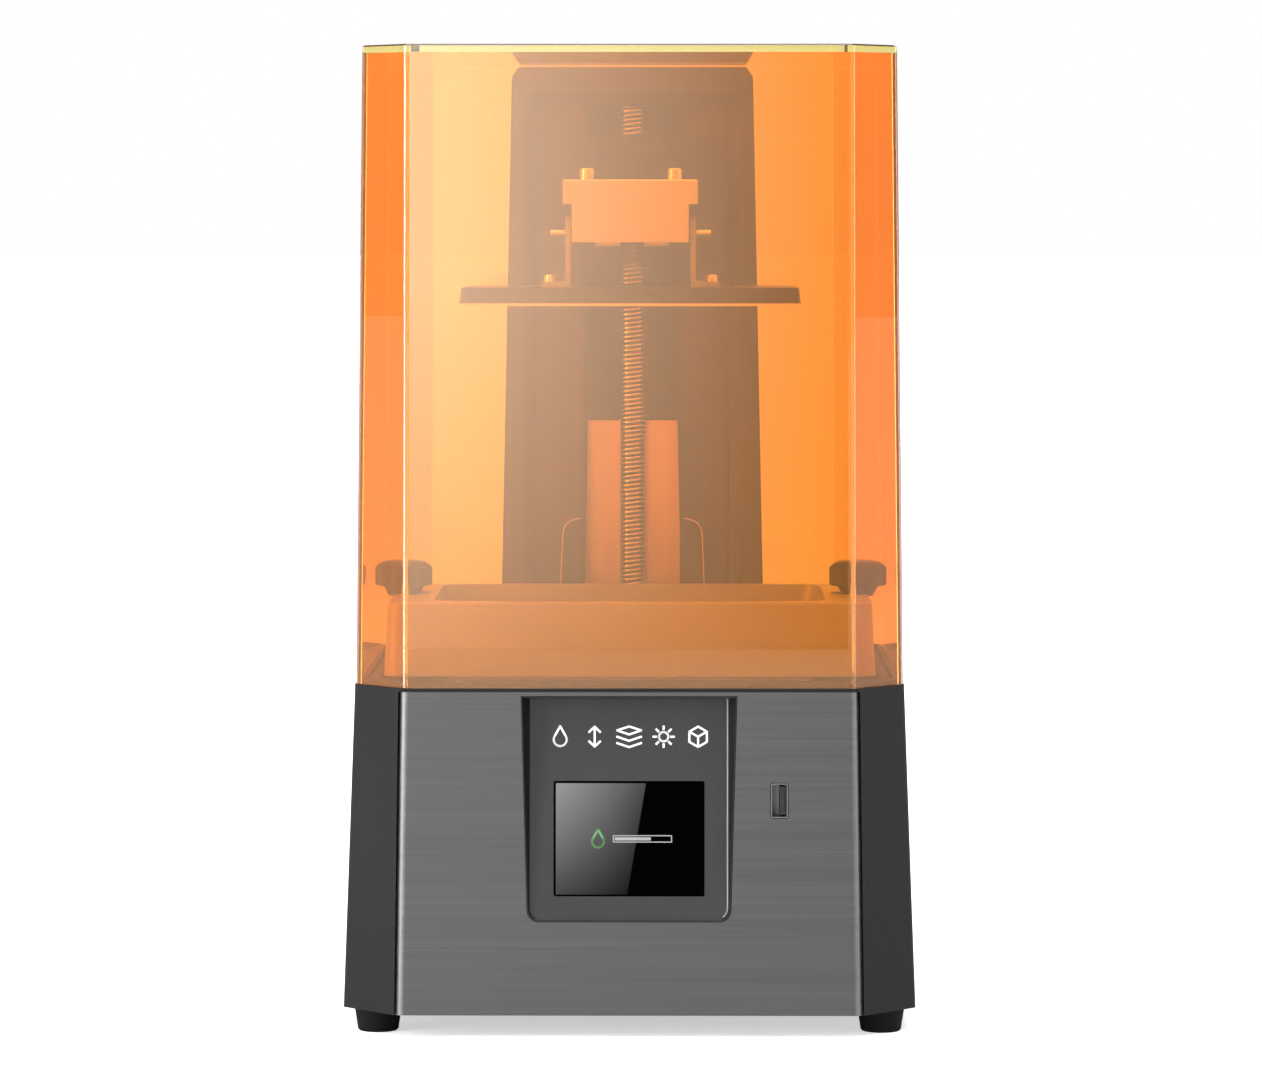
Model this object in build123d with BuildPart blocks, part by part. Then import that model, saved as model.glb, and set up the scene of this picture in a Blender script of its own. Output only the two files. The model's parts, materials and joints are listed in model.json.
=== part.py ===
from build123d import *
import math
import os

os.makedirs("parts", exist_ok=True)

# Base: a shell with cut corners that tapers a little towards the deck
foot_height = 9.4
base_bottom_width = 238.0
base_bottom_depth = 228.0
base_bottom_cut = 23.0
base_top_width = 227.8
base_top_depth = 219.0
base_top_cut = 19.9
base_edge_radius = 3.0
housing_wall = 2.5
housing_inner_radius = 1.5
deck_top = 144.0
deck_skin = 1.4
deck_body = 1.3
housing_top = deck_top - deck_skin
deck_bottom = housing_top - deck_body

# Lift-off cover
cover_bottom = 144.1
cover_top = 408.0
cover_bottom_width = 227.2
cover_bottom_depth = 217.4
cover_bottom_cut = 21.4
cover_top_width = 220.4
cover_top_depth = 212.4
cover_top_cut = 19.0
cover_wall = 3.0
cover_roof = 3.3
cover_edge_radius = 5.0

# Front panel, display and USB socket
panel_thickness = 2.0
panel_return = 12.0
panel_bend = 4.0
panel_gap = 0.2
panel_overhang = 0.6
opening_margin = 2.0
opening_depth = 14.0
bezel_top_z = 141.0
bezel_bottom_z = 47.9
bezel_top_half = 44.5
bezel_bottom_half = 42.0
bezel_corner = 5.0
bezel_depth = 10.0
bezel_face_half = 40.9
bezel_face_bottom_depth = 0.8
bezel_face_top_depth = 6.5
bezel_plate = 2.0
window_width = 62.2
window_height = 47.5
window_centre_z = 82.2
usb_x = 61.8
usb_z = 98.0
usb_depth = 14.0
usb_shell_width = 7.0
usb_shell_height = 14.3
usb_shell_wall = 0.5
usb_cut_gap = 0.3

# Resin vat and what it stands on
vat_y = -23.5
vat_bottom = 146.6
vat_top = 177.5
vat_bottom_length = 203.0
vat_top_length = 200.0
vat_width = 114.0
well_bottom_length = 148.0
well_bottom_width = 93.0
well_top_length = 164.0
well_top_width = 100.0
film_bottom = 144.9
film_thickness = 0.3
film_frame_length = 162.0
film_frame_width = 105.0
knob_x = 96.4
knob_shelf = 173.0
stud_radius = 2.95

# Exposure unit, stacked under the deck
glass_length = 151.6
glass_width = 96.0
glass_top = 144.4
glass_thickness = 1.2
glass_corner = 1.3
lcd_length = 143.4
lcd_width = 88.4
lcd_corner = 0.8
lcd_thickness = 1.3
light_top = 138.5
light_bottom = 60.0
led_fan_size = 80.0
fan_thickness = 15.0

# Z axis
axis_y = 74.0
screw_radius = 6.0
journal_radius = 3.0
running_clearance = 0.05
screw_way = 8.0
rod_x = 31.2
rod_y = 80.0
rod_radius = 4.0
column_front = 60.5
column_back_y = 97.5
column_wall = 2.5
column_bottom_half = 58.5
column_shoulder_half = 53.2
column_shoulder_z = 399.4
column_top_half = 50.3
column_top_z = 403.7
recess_half = 42.9
recess_rim = 4.9
recess_floor = 66.0
recess_top = 387.7
recess_foot = 139.0
mouth_half = recess_half + recess_rim
mouth_top = recess_top + recess_rim
mouth_corner = 6.0
recess_corner = 3.5
channel_half = 21.5
motor_size = 42.3
motor_bottom = 82.0
motor_top = 122.0

# Build platform
carriage_bottom = 316.5
carriage_top = 374.0
mount_front = -48.5
mount_back = 1.5
mount_bottom = 326.9
mount_step = 343.0
mount_top = 353.2
mount_lower_half = 24.6
mount_upper_half = 28.4
plate_bottom = 300.4
plate_face = 302.3
plate_top = 308.0
plate_length = 142.8
plate_width = 88.0
plate_corner = 2.0
bracket_inner = 25.4
bracket_sheet = 2.2
bracket_depth = 30.0

# Rear wall
grille_pitch = 6.0
grille_slot = 3.2
grille_margin = 3.0
fan_screw_hole = 1.6
jack_hole_radius = 5.6
switch_hole_width = 13.4
switch_hole_height = 19.8
exhaust_x = -62.0
exhaust_z = 84.0
exhaust_size = 50.0
fan_screw_share = 0.8
exhaust_screws = fan_screw_share * exhaust_size
jack_x = 62.0
jack_z = 70.0
jack_flange_radius = 7.2
jack_flange_height = 1.5
jack_barrel_radius = 5.5
jack_depth = 14.0
jack_socket_radius = 3.2
jack_socket_depth = 11.0
switch_x = 32.0
switch_z = 70.0
rocker_angle = 8.0

# A 45 degree corner cut loses this much leg for each millimetre of inset.
cut_per_inset = 2 - math.sqrt(2)
# The panel reaches a little past the start of the cut corners, so its bends meet them.
front_half_bottom = base_bottom_width / 2 - base_bottom_cut + panel_overhang
front_half_top = base_top_width / 2 - base_top_cut + panel_overhang
base_lean = math.atan2((base_bottom_depth - base_top_depth) / 2, deck_top - foot_height)
front_plane = Plane(
    origin=(0, -base_bottom_depth / 2, foot_height),
    x_dir=(1, 0, 0),
    z_dir=(0, -math.cos(base_lean), math.sin(base_lean)),
)
rear_plane = Plane(
    origin=(0, base_bottom_depth / 2, foot_height),
    x_dir=(-1, 0, 0),
    z_dir=(0, math.cos(base_lean), math.sin(base_lean)),
)


def along_wall(height):
    """The distance up a leaning wall, from the base's lower edge, of a point at this height."""
    return (height - foot_height) / math.cos(base_lean)


def cut_corner_outline(height, width, depth, cut, radius):
    """A rectangle with its corners cut at 45 degrees and its edges rounded."""
    with BuildSketch(Plane.XY.offset(height)) as outline:
        Rectangle(width, depth)
        chamfer(outline.vertices(), cut)
        fillet(outline.vertices(), radius)
    return outline.sketch


def base_outline(height, inset=0.0, radius=base_edge_radius):
    """The base's outline at one height, moved in by the inset."""
    rise = (height - foot_height) / (deck_top - foot_height)
    width = base_bottom_width + rise * (base_top_width - base_bottom_width) - 2 * inset
    depth = base_bottom_depth + rise * (base_top_depth - base_bottom_depth) - 2 * inset
    cut = base_bottom_cut + rise * (base_top_cut - base_bottom_cut) - cut_per_inset * inset
    return cut_corner_outline(height, width, depth, cut, radius)


def cover_outline(height, inset=0.0, radius=cover_edge_radius):
    """The cover's outline at one height, moved in by the inset."""
    rise = (height - cover_bottom) / (cover_top - cover_bottom)
    width = cover_bottom_width + rise * (cover_top_width - cover_bottom_width) - 2 * inset
    depth = cover_bottom_depth + rise * (cover_top_depth - cover_bottom_depth) - 2 * inset
    cut = cover_bottom_cut + rise * (cover_top_cut - cover_bottom_cut) - cut_per_inset * inset
    return cut_corner_outline(height, width, depth, cut, radius)


def tapered_outline(plane, bottom, top, bottom_half, top_half, radius=0.0):
    """A four-sided outline about the plane's local y axis, rounded at its lower corners."""
    with BuildSketch(plane) as outline:
        with BuildLine():
            Polyline(
                (-bottom_half, bottom),
                (bottom_half, bottom),
                (top_half, top),
                (-top_half, top),
                close=True,
            )
        make_face()
        if radius > 0:
            fillet(outline.vertices().group_by(Axis.Y)[0], radius)
    return outline.sketch


def rounded_rectangle(plane, length, width, radius):
    """A rounded rectangle centred on the plane's origin."""
    with BuildSketch(plane) as outline:
        RectangleRounded(length, width, radius)
    return outline.sketch


def vat_plane(height):
    """A level plane at this height, centred on the vat."""
    return Plane((0, vat_y, height))


# ---------------------------------------------------------------- base casing
with BuildPart() as housing:
    loft(sections=[base_outline(foot_height), base_outline(housing_top)])
    loft(
        sections=[
            base_outline(foot_height, housing_wall, housing_inner_radius),
            base_outline(housing_top, housing_wall, housing_inner_radius),
        ],
        mode=Mode.SUBTRACT,
    )
    # The front is open from side to side for the metal panel.
    extrude(
        tapered_outline(
            front_plane.offset(opening_margin),
            -opening_margin,
            along_wall(deck_top) + opening_margin,
            front_half_bottom + panel_gap,
            front_half_top + panel_gap,
        ),
        amount=-opening_margin - opening_depth,
        mode=Mode.SUBTRACT,
    )
    # Exhaust grille: level slots that fill a circle.
    grille_radius = exhaust_size / 2 - grille_margin
    with BuildSketch(rear_plane.offset(1)):
        for row in range(-3, 4):
            slot_offset = row * grille_pitch
            slot_length = 2 * math.sqrt(grille_radius**2 - slot_offset**2)
            with Locations((-exhaust_x, along_wall(exhaust_z) + slot_offset)):
                SlotOverall(slot_length, grille_slot)
        with Locations((-exhaust_x, along_wall(exhaust_z))):
            with GridLocations(exhaust_screws, exhaust_screws, 2, 2):
                Circle(fan_screw_hole)
    extrude(amount=-housing_wall - opening_margin, mode=Mode.SUBTRACT)
    with BuildSketch(rear_plane.offset(1)):
        with Locations((-jack_x, along_wall(jack_z))):
            Circle(jack_hole_radius)
        with Locations((-switch_x, along_wall(switch_z))):
            Rectangle(switch_hole_width, switch_hole_height)
    extrude(amount=-housing_wall - opening_margin, mode=Mode.SUBTRACT)
housing.part.label = "housing"
export_step(housing.part, "parts/housing.step")

with BuildPart() as front_panel:
    extrude(
        tapered_outline(front_plane, 0, along_wall(housing_top), front_half_bottom, front_half_top),
        amount=-panel_return,
    )
    extrude(
        tapered_outline(
            front_plane.offset(-panel_thickness),
            -1,
            along_wall(housing_top) + 1,
            front_half_bottom - panel_thickness,
            front_half_top - panel_thickness,
        ),
        amount=-panel_return,
        mode=Mode.SUBTRACT,
    )
    outer_face = front_panel.faces().filter_by(lambda face: face.normal_at().Y < -0.9)
    side_edges = outer_face.sort_by(SortBy.AREA)[-1].edges().sort_by(Axis.X)
    fillet([side_edges[0], side_edges[-1]], panel_bend)
    extrude(
        tapered_outline(
            front_plane,
            along_wall(bezel_bottom_z),
            along_wall(bezel_top_z),
            bezel_bottom_half,
            bezel_top_half,
            bezel_corner,
        ),
        amount=-panel_thickness - 1,
        mode=Mode.SUBTRACT,
    )
    with BuildSketch(front_plane):
        with Locations((usb_x, along_wall(usb_z))):
            RectangleRounded(usb_shell_width + 2 * usb_cut_gap, usb_shell_height + 2 * usb_cut_gap, 1.2)
    extrude(amount=-panel_thickness - 1, mode=Mode.SUBTRACT)
front_panel.part.label = "front_panel"
export_step(front_panel.part, "parts/front_panel.step")

foot_x = 104.5
foot_y = 91.0
foot_hole = 2.1
bottom_sheet = 2.0
bottom_gap = 1.0
panel_notch = 3.0
vent_count = 8
vent_pitch = 8.0
vent_length = 52.0
vent_width = 4.0
mainboard_x = -55.0
mainboard_y = 66.0
standoff_span = 70.0
standoff_depth = 56.0
standoff_radius = 3.0
standoff_height = 7.5
with BuildPart() as bottom_plate:
    plate_inset = housing_wall + bottom_gap
    extrude(base_outline(foot_height, plate_inset, housing_inner_radius), amount=bottom_sheet)
    with BuildSketch(Plane((0, panel_return / 2 - base_bottom_depth / 2, foot_height))):
        with GridLocations(2 * front_half_bottom - panel_thickness, 0, 2, 1):
            Rectangle(panel_notch, panel_return + 2)
    extrude(amount=bottom_sheet, mode=Mode.SUBTRACT)
    with BuildSketch(Plane.XY.offset(foot_height)):
        with GridLocations(2 * foot_x, 2 * foot_y, 2, 2):
            Circle(foot_hole)
        with Locations((0, vat_y)):
            with GridLocations(vent_pitch, 0, vent_count, 1):
                SlotOverall(vent_length, vent_width, rotation=90)
    extrude(amount=bottom_sheet, mode=Mode.SUBTRACT)
    # Pressed standoffs carry the mainboard.
    with BuildSketch(Plane((mainboard_x, mainboard_y, foot_height + bottom_sheet))):
        with GridLocations(standoff_span, standoff_depth, 2, 2):
            Circle(standoff_radius)
    extrude(amount=standoff_height)
bottom_plate.part.label = "bottom_plate"
export_step(bottom_plate.part, "parts/bottom_plate.step")

foot_radius = 9.8
foot_taper = 9
foot_chamfer = 0.6
foot_recess_radius = 4.2
foot_recess_depth = 3.0
with BuildPart() as feet:
    with BuildSketch(Plane.XY.offset(foot_height)):
        with GridLocations(2 * foot_x, 2 * foot_y, 2, 2):
            Circle(foot_radius)
    extrude(amount=-foot_height, taper=foot_taper)
    chamfer(feet.edges().group_by(Axis.Z)[0], foot_chamfer)
    with BuildSketch():
        with GridLocations(2 * foot_x, 2 * foot_y, 2, 2):
            Circle(foot_recess_radius)
    extrude(amount=foot_recess_depth, mode=Mode.SUBTRACT)
    with BuildSketch():
        with GridLocations(2 * foot_x, 2 * foot_y, 2, 2):
            Circle(foot_hole)
    extrude(amount=foot_height, mode=Mode.SUBTRACT)
feet.part.label = "feet"
export_step(feet.part, "parts/feet.step")

foot_screw_head_radius = 3.7
foot_screw_head_height = 2.2
foot_screw_radius = 2.0
foot_screw_length = 10.9
hex_socket_radius = 1.6
hex_socket_depth = 1.2
foot_screw_bottom = foot_recess_depth - foot_screw_head_height
with BuildPart() as foot_screws:
    with BuildSketch(Plane.XY.offset(foot_screw_bottom)):
        with GridLocations(2 * foot_x, 2 * foot_y, 2, 2):
            Circle(foot_screw_head_radius)
    extrude(amount=foot_screw_head_height)
    with BuildSketch(Plane.XY.offset(foot_recess_depth)):
        with GridLocations(2 * foot_x, 2 * foot_y, 2, 2):
            Circle(foot_screw_radius)
    extrude(amount=foot_screw_length)
    with BuildSketch(Plane.XY.offset(foot_screw_bottom)):
        with GridLocations(2 * foot_x, 2 * foot_y, 2, 2):
            RegularPolygon(hex_socket_radius, 6)
    extrude(amount=hex_socket_depth, mode=Mode.SUBTRACT)
foot_screws.part.label = "foot_screws"
export_step(foot_screws.part, "parts/foot_screws.step")

# ---------------------------------------------------------------- display and USB
bezel_rise = along_wall(bezel_top_z) - along_wall(bezel_bottom_z)
bezel_tilt = math.atan2(bezel_face_top_depth - bezel_face_bottom_depth, bezel_rise)
face_lean = base_lean + bezel_tilt
face_plane = Plane(
    origin=front_plane.from_local_coords((0, along_wall(bezel_bottom_z), -bezel_face_bottom_depth)),
    x_dir=(1, 0, 0),
    z_dir=(0, -math.cos(face_lean), math.sin(face_lean)),
)
window_up = along_wall(window_centre_z) - along_wall(bezel_bottom_z)
bezel_fit = 0.3
bezel_flange = 3.0
bezel_flange_thickness = 1.5
bezel_lip = 0.5
window_corner = 0.8
screen_gap = 0.1
module_margin = 4.0
module_depth = 3.5

with BuildPart() as display_bezel:
    extrude(
        tapered_outline(
            front_plane,
            along_wall(bezel_bottom_z) + bezel_fit,
            along_wall(bezel_top_z) - bezel_fit,
            bezel_bottom_half - bezel_fit,
            bezel_top_half - bezel_fit,
            bezel_corner,
        ),
        amount=-bezel_depth,
    )
    # A flange behind the panel holds the bezel in its cut-out.
    extrude(
        tapered_outline(
            front_plane.offset(-panel_thickness),
            along_wall(bezel_bottom_z) - bezel_flange,
            along_wall(bezel_top_z) - bezel_fit,
            bezel_bottom_half + bezel_flange,
            bezel_top_half + bezel_flange,
            bezel_corner,
        ),
        amount=-bezel_flange_thickness,
    )
    loft(
        sections=[
            tapered_outline(
                front_plane,
                along_wall(bezel_bottom_z) + bezel_lip,
                along_wall(bezel_top_z) - bezel_lip,
                bezel_bottom_half - bezel_lip,
                bezel_top_half - bezel_lip,
                bezel_corner,
            ),
            tapered_outline(
                face_plane,
                0.8,
                bezel_rise - 1.2,
                bezel_face_half,
                bezel_face_half,
                bezel_corner,
            ),
        ],
        mode=Mode.SUBTRACT,
    )
    with BuildSketch(face_plane.offset(-bezel_plate)):
        with Locations((0, bezel_rise / 2)):
            Rectangle(2 * bezel_face_half - 3, bezel_rise - 5)
    extrude(amount=-bezel_depth, mode=Mode.SUBTRACT)
    with BuildSketch(face_plane):
        with Locations((0, window_up)):
            RectangleRounded(window_width, window_height, window_corner)
    extrude(amount=-bezel_plate, mode=Mode.SUBTRACT)
display_bezel.part.label = "display_bezel"
export_step(display_bezel.part, "parts/display_bezel.step")

glass_recess = 0.2
with BuildPart() as touch_screen:
    with BuildSketch(face_plane.offset(-glass_recess)):
        with Locations((0, window_up)):
            screen_width = window_width - 2 * screen_gap
            screen_height = window_height - 2 * screen_gap
            RectangleRounded(screen_width, screen_height, window_corner - screen_gap)
    extrude(amount=glass_recess - bezel_plate)
touch_screen.part.label = "touch_screen"
export_step(touch_screen.part, "parts/touch_screen.step")

with BuildPart() as display_module:
    with BuildSketch(face_plane.offset(-bezel_plate)):
        with Locations((0, window_up)):
            Rectangle(window_width + 2 * module_margin, window_height + 2 * module_margin)
    extrude(amount=-module_depth)
display_module.part.label = "display_module"
export_step(display_module.part, "parts/display_module.step")

usb_plane = Plane(
    origin=front_plane.from_local_coords((usb_x, along_wall(usb_z), 0)),
    x_dir=(1, 0, 0),
    z_dir=front_plane.z_dir,
)
usb_inset = 0.3
with BuildPart() as usb_port:
    usb_face = usb_plane.offset(-usb_inset)
    extrude(rounded_rectangle(usb_face, usb_shell_width, usb_shell_height, 0.9), amount=-usb_depth)
    offset(amount=-usb_shell_wall, openings=usb_port.faces().sort_by(Axis.Y)[0])
usb_port.part.label = "usb_port"
export_step(usb_port.part, "parts/usb_port.step")

tongue_x = 1.1
tongue_inset = 1.6
tongue_width = 11.4
tongue_thickness = 1.9
with BuildPart() as usb_tongue:
    with BuildSketch(usb_plane.offset(-tongue_inset)):
        with Locations((tongue_x, 0)):
            Rectangle(tongue_thickness, tongue_width)
    extrude(amount=usb_shell_wall + tongue_inset - usb_depth)
usb_tongue.part.label = "usb_tongue"
export_step(usb_tongue.part, "parts/usb_tongue.step")

# ---------------------------------------------------------------- deck and exposure unit
deck_gap = 0.3
boss_radius = 6.0
boss_height = 6.0
seat_gap = 0.2
lip_gap = 0.4
lip_width = 2.0
lip_height = 2.5
with BuildPart() as deck_plate:
    extrude(base_outline(housing_top), amount=deck_skin)
    extrude(base_outline(housing_top, housing_wall + deck_gap, housing_inner_radius), amount=-deck_body)
    with BuildSketch(Plane((0, panel_return / 2 - base_top_depth / 2, deck_bottom))):
        with GridLocations(2 * front_half_top - panel_thickness, 0, 2, 1):
            Rectangle(panel_notch, panel_return + 2)
    extrude(amount=deck_body, mode=Mode.SUBTRACT)
    # The lip inside the cover's foot keeps the cover in place.
    extrude(cover_outline(deck_top, cover_wall + lip_gap, 2.0), amount=lip_height)
    extrude(
        cover_outline(deck_top, cover_wall + lip_gap + lip_width, 1.5),
        amount=lip_height,
        mode=Mode.SUBTRACT,
    )
    # Threaded bosses take the vat's clamping studs.
    with BuildSketch(Plane((0, vat_y, deck_bottom))):
        with GridLocations(2 * knob_x, 0, 2, 1):
            Circle(boss_radius)
    extrude(amount=-boss_height)
    with BuildSketch(Plane((0, vat_y, deck_bottom - boss_height))):
        with GridLocations(2 * knob_x, 0, 2, 1):
            Circle(stud_radius + running_clearance)
    extrude(amount=deck_top - deck_bottom + boss_height, mode=Mode.SUBTRACT)
    with BuildSketch(vat_plane(glass_top - glass_thickness)):
        RectangleRounded(glass_length + 2 * seat_gap, glass_width + 2 * seat_gap, glass_corner + seat_gap)
    extrude(amount=glass_thickness, mode=Mode.SUBTRACT)
    with BuildSketch(vat_plane(deck_bottom)):
        RectangleRounded(lcd_length + 2 * seat_gap, lcd_width + 2 * seat_gap, lcd_corner + seat_gap)
    extrude(amount=deck_top - deck_bottom, mode=Mode.SUBTRACT)
    with BuildSketch(Plane((0, axis_y, deck_bottom))):
        Circle(screw_way)
    extrude(amount=deck_top - deck_bottom, mode=Mode.SUBTRACT)
deck_plate.part.label = "deck_plate"
export_step(deck_plate.part, "parts/deck_plate.step")

glass_bottom = glass_top - glass_thickness
lcd_bottom = glass_bottom - lcd_thickness
with BuildPart() as lcd_glass:
    glass_outline = rounded_rectangle(vat_plane(glass_bottom), glass_length, glass_width, glass_corner)
    extrude(glass_outline, amount=glass_thickness)
lcd_glass.part.label = "lcd_glass"
export_step(lcd_glass.part, "parts/lcd_glass.step")

with BuildPart() as lcd_panel:
    panel_outline = rounded_rectangle(vat_plane(lcd_bottom), lcd_length, lcd_width, lcd_corner)
    extrude(panel_outline, amount=lcd_thickness)
lcd_panel.part.label = "lcd_panel"
export_step(lcd_panel.part, "parts/lcd_panel.step")

frame_length = 156.0
frame_width = 100.0
frame_corner = 3.0
with BuildPart() as lcd_frame:
    frame_outline = rounded_rectangle(vat_plane(light_top), frame_length, frame_width, frame_corner)
    extrude(frame_outline, amount=deck_bottom - light_top)
    lcd_outline = rounded_rectangle(vat_plane(deck_bottom), lcd_length, lcd_width, lcd_corner)
    extrude(lcd_outline, amount=lcd_bottom - deck_bottom)
    extrude(rounded_rectangle(vat_plane(light_top), 132, 82, 1), amount=10, mode=Mode.SUBTRACT)
lcd_frame.part.label = "lcd_frame"
export_step(lcd_frame.part, "parts/lcd_frame.step")

led_board_size = 80.0
led_board_corner = 2.0
led_pitch = 11.5
led_rows = 5
led_size = 3.5
led_height = 1.5
light_flange = 2.0
light_foot = 68.0
light_head_length = 138.0
light_head_width = 90.0
light_wall = 2.0
light_corner = 3.0
with BuildPart() as light_housing:
    loft(
        sections=[
            rounded_rectangle(vat_plane(light_bottom), light_foot, light_foot, light_corner),
            rounded_rectangle(vat_plane(light_top), light_head_length, light_head_width, light_corner),
        ]
    )
    board_plane = vat_plane(light_bottom)
    board_outline = rounded_rectangle(board_plane, led_board_size, led_board_size, led_board_corner)
    extrude(board_outline, amount=light_flange)
    top_outline = rounded_rectangle(vat_plane(light_top), frame_length, frame_width, frame_corner)
    extrude(top_outline, amount=-light_flange)
    inner_foot = light_foot - 2 * light_wall
    inner_length = light_head_length - 2 * light_wall
    inner_width = light_head_width - 2 * light_wall
    loft(
        sections=[
            rounded_rectangle(vat_plane(light_bottom + light_flange), inner_foot, inner_foot, 2),
            rounded_rectangle(vat_plane(light_top), inner_length, inner_width, 2),
        ],
        mode=Mode.SUBTRACT,
    )
    extrude(
        rounded_rectangle(vat_plane(light_bottom), 60, 60, 2),
        amount=light_flange,
        mode=Mode.SUBTRACT,
    )
light_housing.part.label = "light_housing"
export_step(light_housing.part, "parts/light_housing.step")

lens_size = 63.0
lens_thickness = 2.5
lens_dome_radius = 5.0
lens_dome_height = 1.6
with BuildPart() as collimating_lens:
    lens_outline = rounded_rectangle(vat_plane(light_bottom + light_flange), lens_size, lens_size, 1.5)
    extrude(lens_outline, amount=lens_thickness)
    # One shallow dome over each light-emitting diode.
    with BuildSketch(vat_plane(light_bottom + light_flange + lens_thickness)):
        with GridLocations(led_pitch, led_pitch, led_rows, led_rows):
            Circle(lens_dome_radius)
    extrude(amount=lens_dome_height, taper=30)
collimating_lens.part.label = "collimating_lens"
export_step(collimating_lens.part, "parts/collimating_lens.step")

board_thickness = 1.6
with BuildPart() as uv_led_board:
    extrude(
        rounded_rectangle(vat_plane(light_bottom), led_board_size, led_board_size, led_board_corner),
        amount=-board_thickness,
    )
    with BuildSketch(vat_plane(light_bottom)):
        with GridLocations(led_pitch, led_pitch, led_rows, led_rows):
            Rectangle(led_size, led_size)
    extrude(amount=led_height)
uv_led_board.part.label = "uv_led_board"
export_step(uv_led_board.part, "parts/uv_led_board.step")

sink_top = light_bottom - board_thickness
sink_base = 4.0
fin_height = 16.0
fin_pitch = 7.8
fin_count = 11
fin_thickness = 1.6
with BuildPart() as heat_sink:
    extrude(rounded_rectangle(vat_plane(sink_top), led_board_size, led_board_size, 1), amount=-sink_base)
    with BuildSketch(vat_plane(sink_top - sink_base)):
        with GridLocations(fin_pitch, 0, fin_count, 1):
            Rectangle(fin_thickness, led_board_size)
    extrude(amount=-fin_height)
heat_sink.part.label = "heat_sink"
export_step(heat_sink.part, "parts/heat_sink.step")


def build_fan_frame(plane, size, thickness):
    """A square frame with a round duct and a hub disc on four struts at its back."""
    duct = size / 2 - 2
    hub = size * 0.17
    with BuildPart() as frame:
        with BuildSketch(plane):
            RectangleRounded(size, size, 3)
            Circle(duct, mode=Mode.SUBTRACT)
            with GridLocations(size * fan_screw_share, size * fan_screw_share, 2, 2):
                Circle(1.6, mode=Mode.SUBTRACT)
        extrude(amount=thickness)
        with BuildSketch(plane):
            Circle(hub)
            Rectangle(2 * duct + 1, 2.5)
            Rectangle(2.5, 2 * duct + 1)
            Circle(1.5 + running_clearance, mode=Mode.SUBTRACT)
        extrude(amount=2.2)
    return frame


def build_fan_rotor(plane, size, thickness):
    """A hub with seven pitched blades and a short shaft in the frame's hub disc."""
    tip = size / 2 - 3.5
    hub = size * 0.17
    hub_gap = 2.6
    blade = tip - hub + 1
    with BuildPart(plane) as rotor:
        with BuildSketch(plane.offset(hub_gap)):
            Circle(hub)
        extrude(amount=thickness - hub_gap - 0.6)
        with BuildSketch(plane.offset(0.3)):
            Circle(1.5)
        extrude(amount=hub_gap)
        with Locations((0, 0, thickness / 2 + 1)):
            with PolarLocations(hub - 1 + blade / 2, 7):
                Box(blade, 1.3, 11, rotation=(35, 0, 0))
        fillet(rotor.faces().sort_by(Axis(plane.origin, plane.z_dir))[-1].edges(), 0.8)
    return rotor


led_fan_plane = vat_plane(sink_top - sink_base - fin_height - fan_thickness)
led_fan_frame = build_fan_frame(led_fan_plane, led_fan_size, fan_thickness)
led_fan_frame.part.label = "led_fan_frame"
export_step(led_fan_frame.part, "parts/led_fan_frame.step")

led_fan_rotor = build_fan_rotor(led_fan_plane, led_fan_size, fan_thickness)
led_fan_rotor.part.label = "led_fan_rotor"
export_step(led_fan_rotor.part, "parts/led_fan_rotor.step")

mainboard_z = foot_height + bottom_sheet + standoff_height
mainboard_length = 80.0
mainboard_width = 66.0
mainboard_corner = 2.0
processor_size = 16.0
driver_size = 7.0
driver_x = -24.0
driver_pitch = 14.0
chip_height = 1.4
plug_row_y = -28.0
plug_pitch = 15.0
plug_length = 11.0
plug_width = 5.5
side_plug_x = 35.0
side_plug_y = 4.0
side_plug_length = 10.0
side_plug_width = 6.0
plug_height = 7.0
with BuildPart() as mainboard:
    lower_face = Plane((mainboard_x, mainboard_y, mainboard_z))
    extrude(
        rounded_rectangle(lower_face, mainboard_length, mainboard_width, mainboard_corner),
        amount=board_thickness,
    )
    # Processor, driver chips and connector blocks stand on the board.
    with BuildSketch(lower_face.offset(board_thickness)):
        Rectangle(processor_size, processor_size)
        with Locations((driver_x, 0)):
            with GridLocations(0, driver_pitch, 1, 3):
                Rectangle(driver_size, driver_size)
    extrude(amount=chip_height)
    with BuildSketch(lower_face.offset(board_thickness)):
        with Locations((0, plug_row_y)):
            with GridLocations(plug_pitch, 0, 5, 1):
                Rectangle(plug_length, plug_width)
        with Locations((side_plug_x, side_plug_y)):
            with GridLocations(0, plug_pitch, 1, 3):
                Rectangle(side_plug_width, side_plug_length)
    extrude(amount=plug_height)
mainboard.part.label = "mainboard"
export_step(mainboard.part, "parts/mainboard.step")

# ---------------------------------------------------------------- rear wall
exhaust_plane = Plane(
    origin=rear_plane.from_local_coords((-exhaust_x, along_wall(exhaust_z), -housing_wall - fan_thickness)),
    x_dir=(-1, 0, 0),
    z_dir=rear_plane.z_dir,
)
exhaust_fan_frame = build_fan_frame(exhaust_plane, exhaust_size, fan_thickness)
exhaust_fan_frame.part.label = "exhaust_fan_frame"
export_step(exhaust_fan_frame.part, "parts/exhaust_fan_frame.step")

exhaust_fan_rotor = build_fan_rotor(exhaust_plane, exhaust_size, fan_thickness)
exhaust_fan_rotor.part.label = "exhaust_fan_rotor"
export_step(exhaust_fan_rotor.part, "parts/exhaust_fan_rotor.step")

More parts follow.
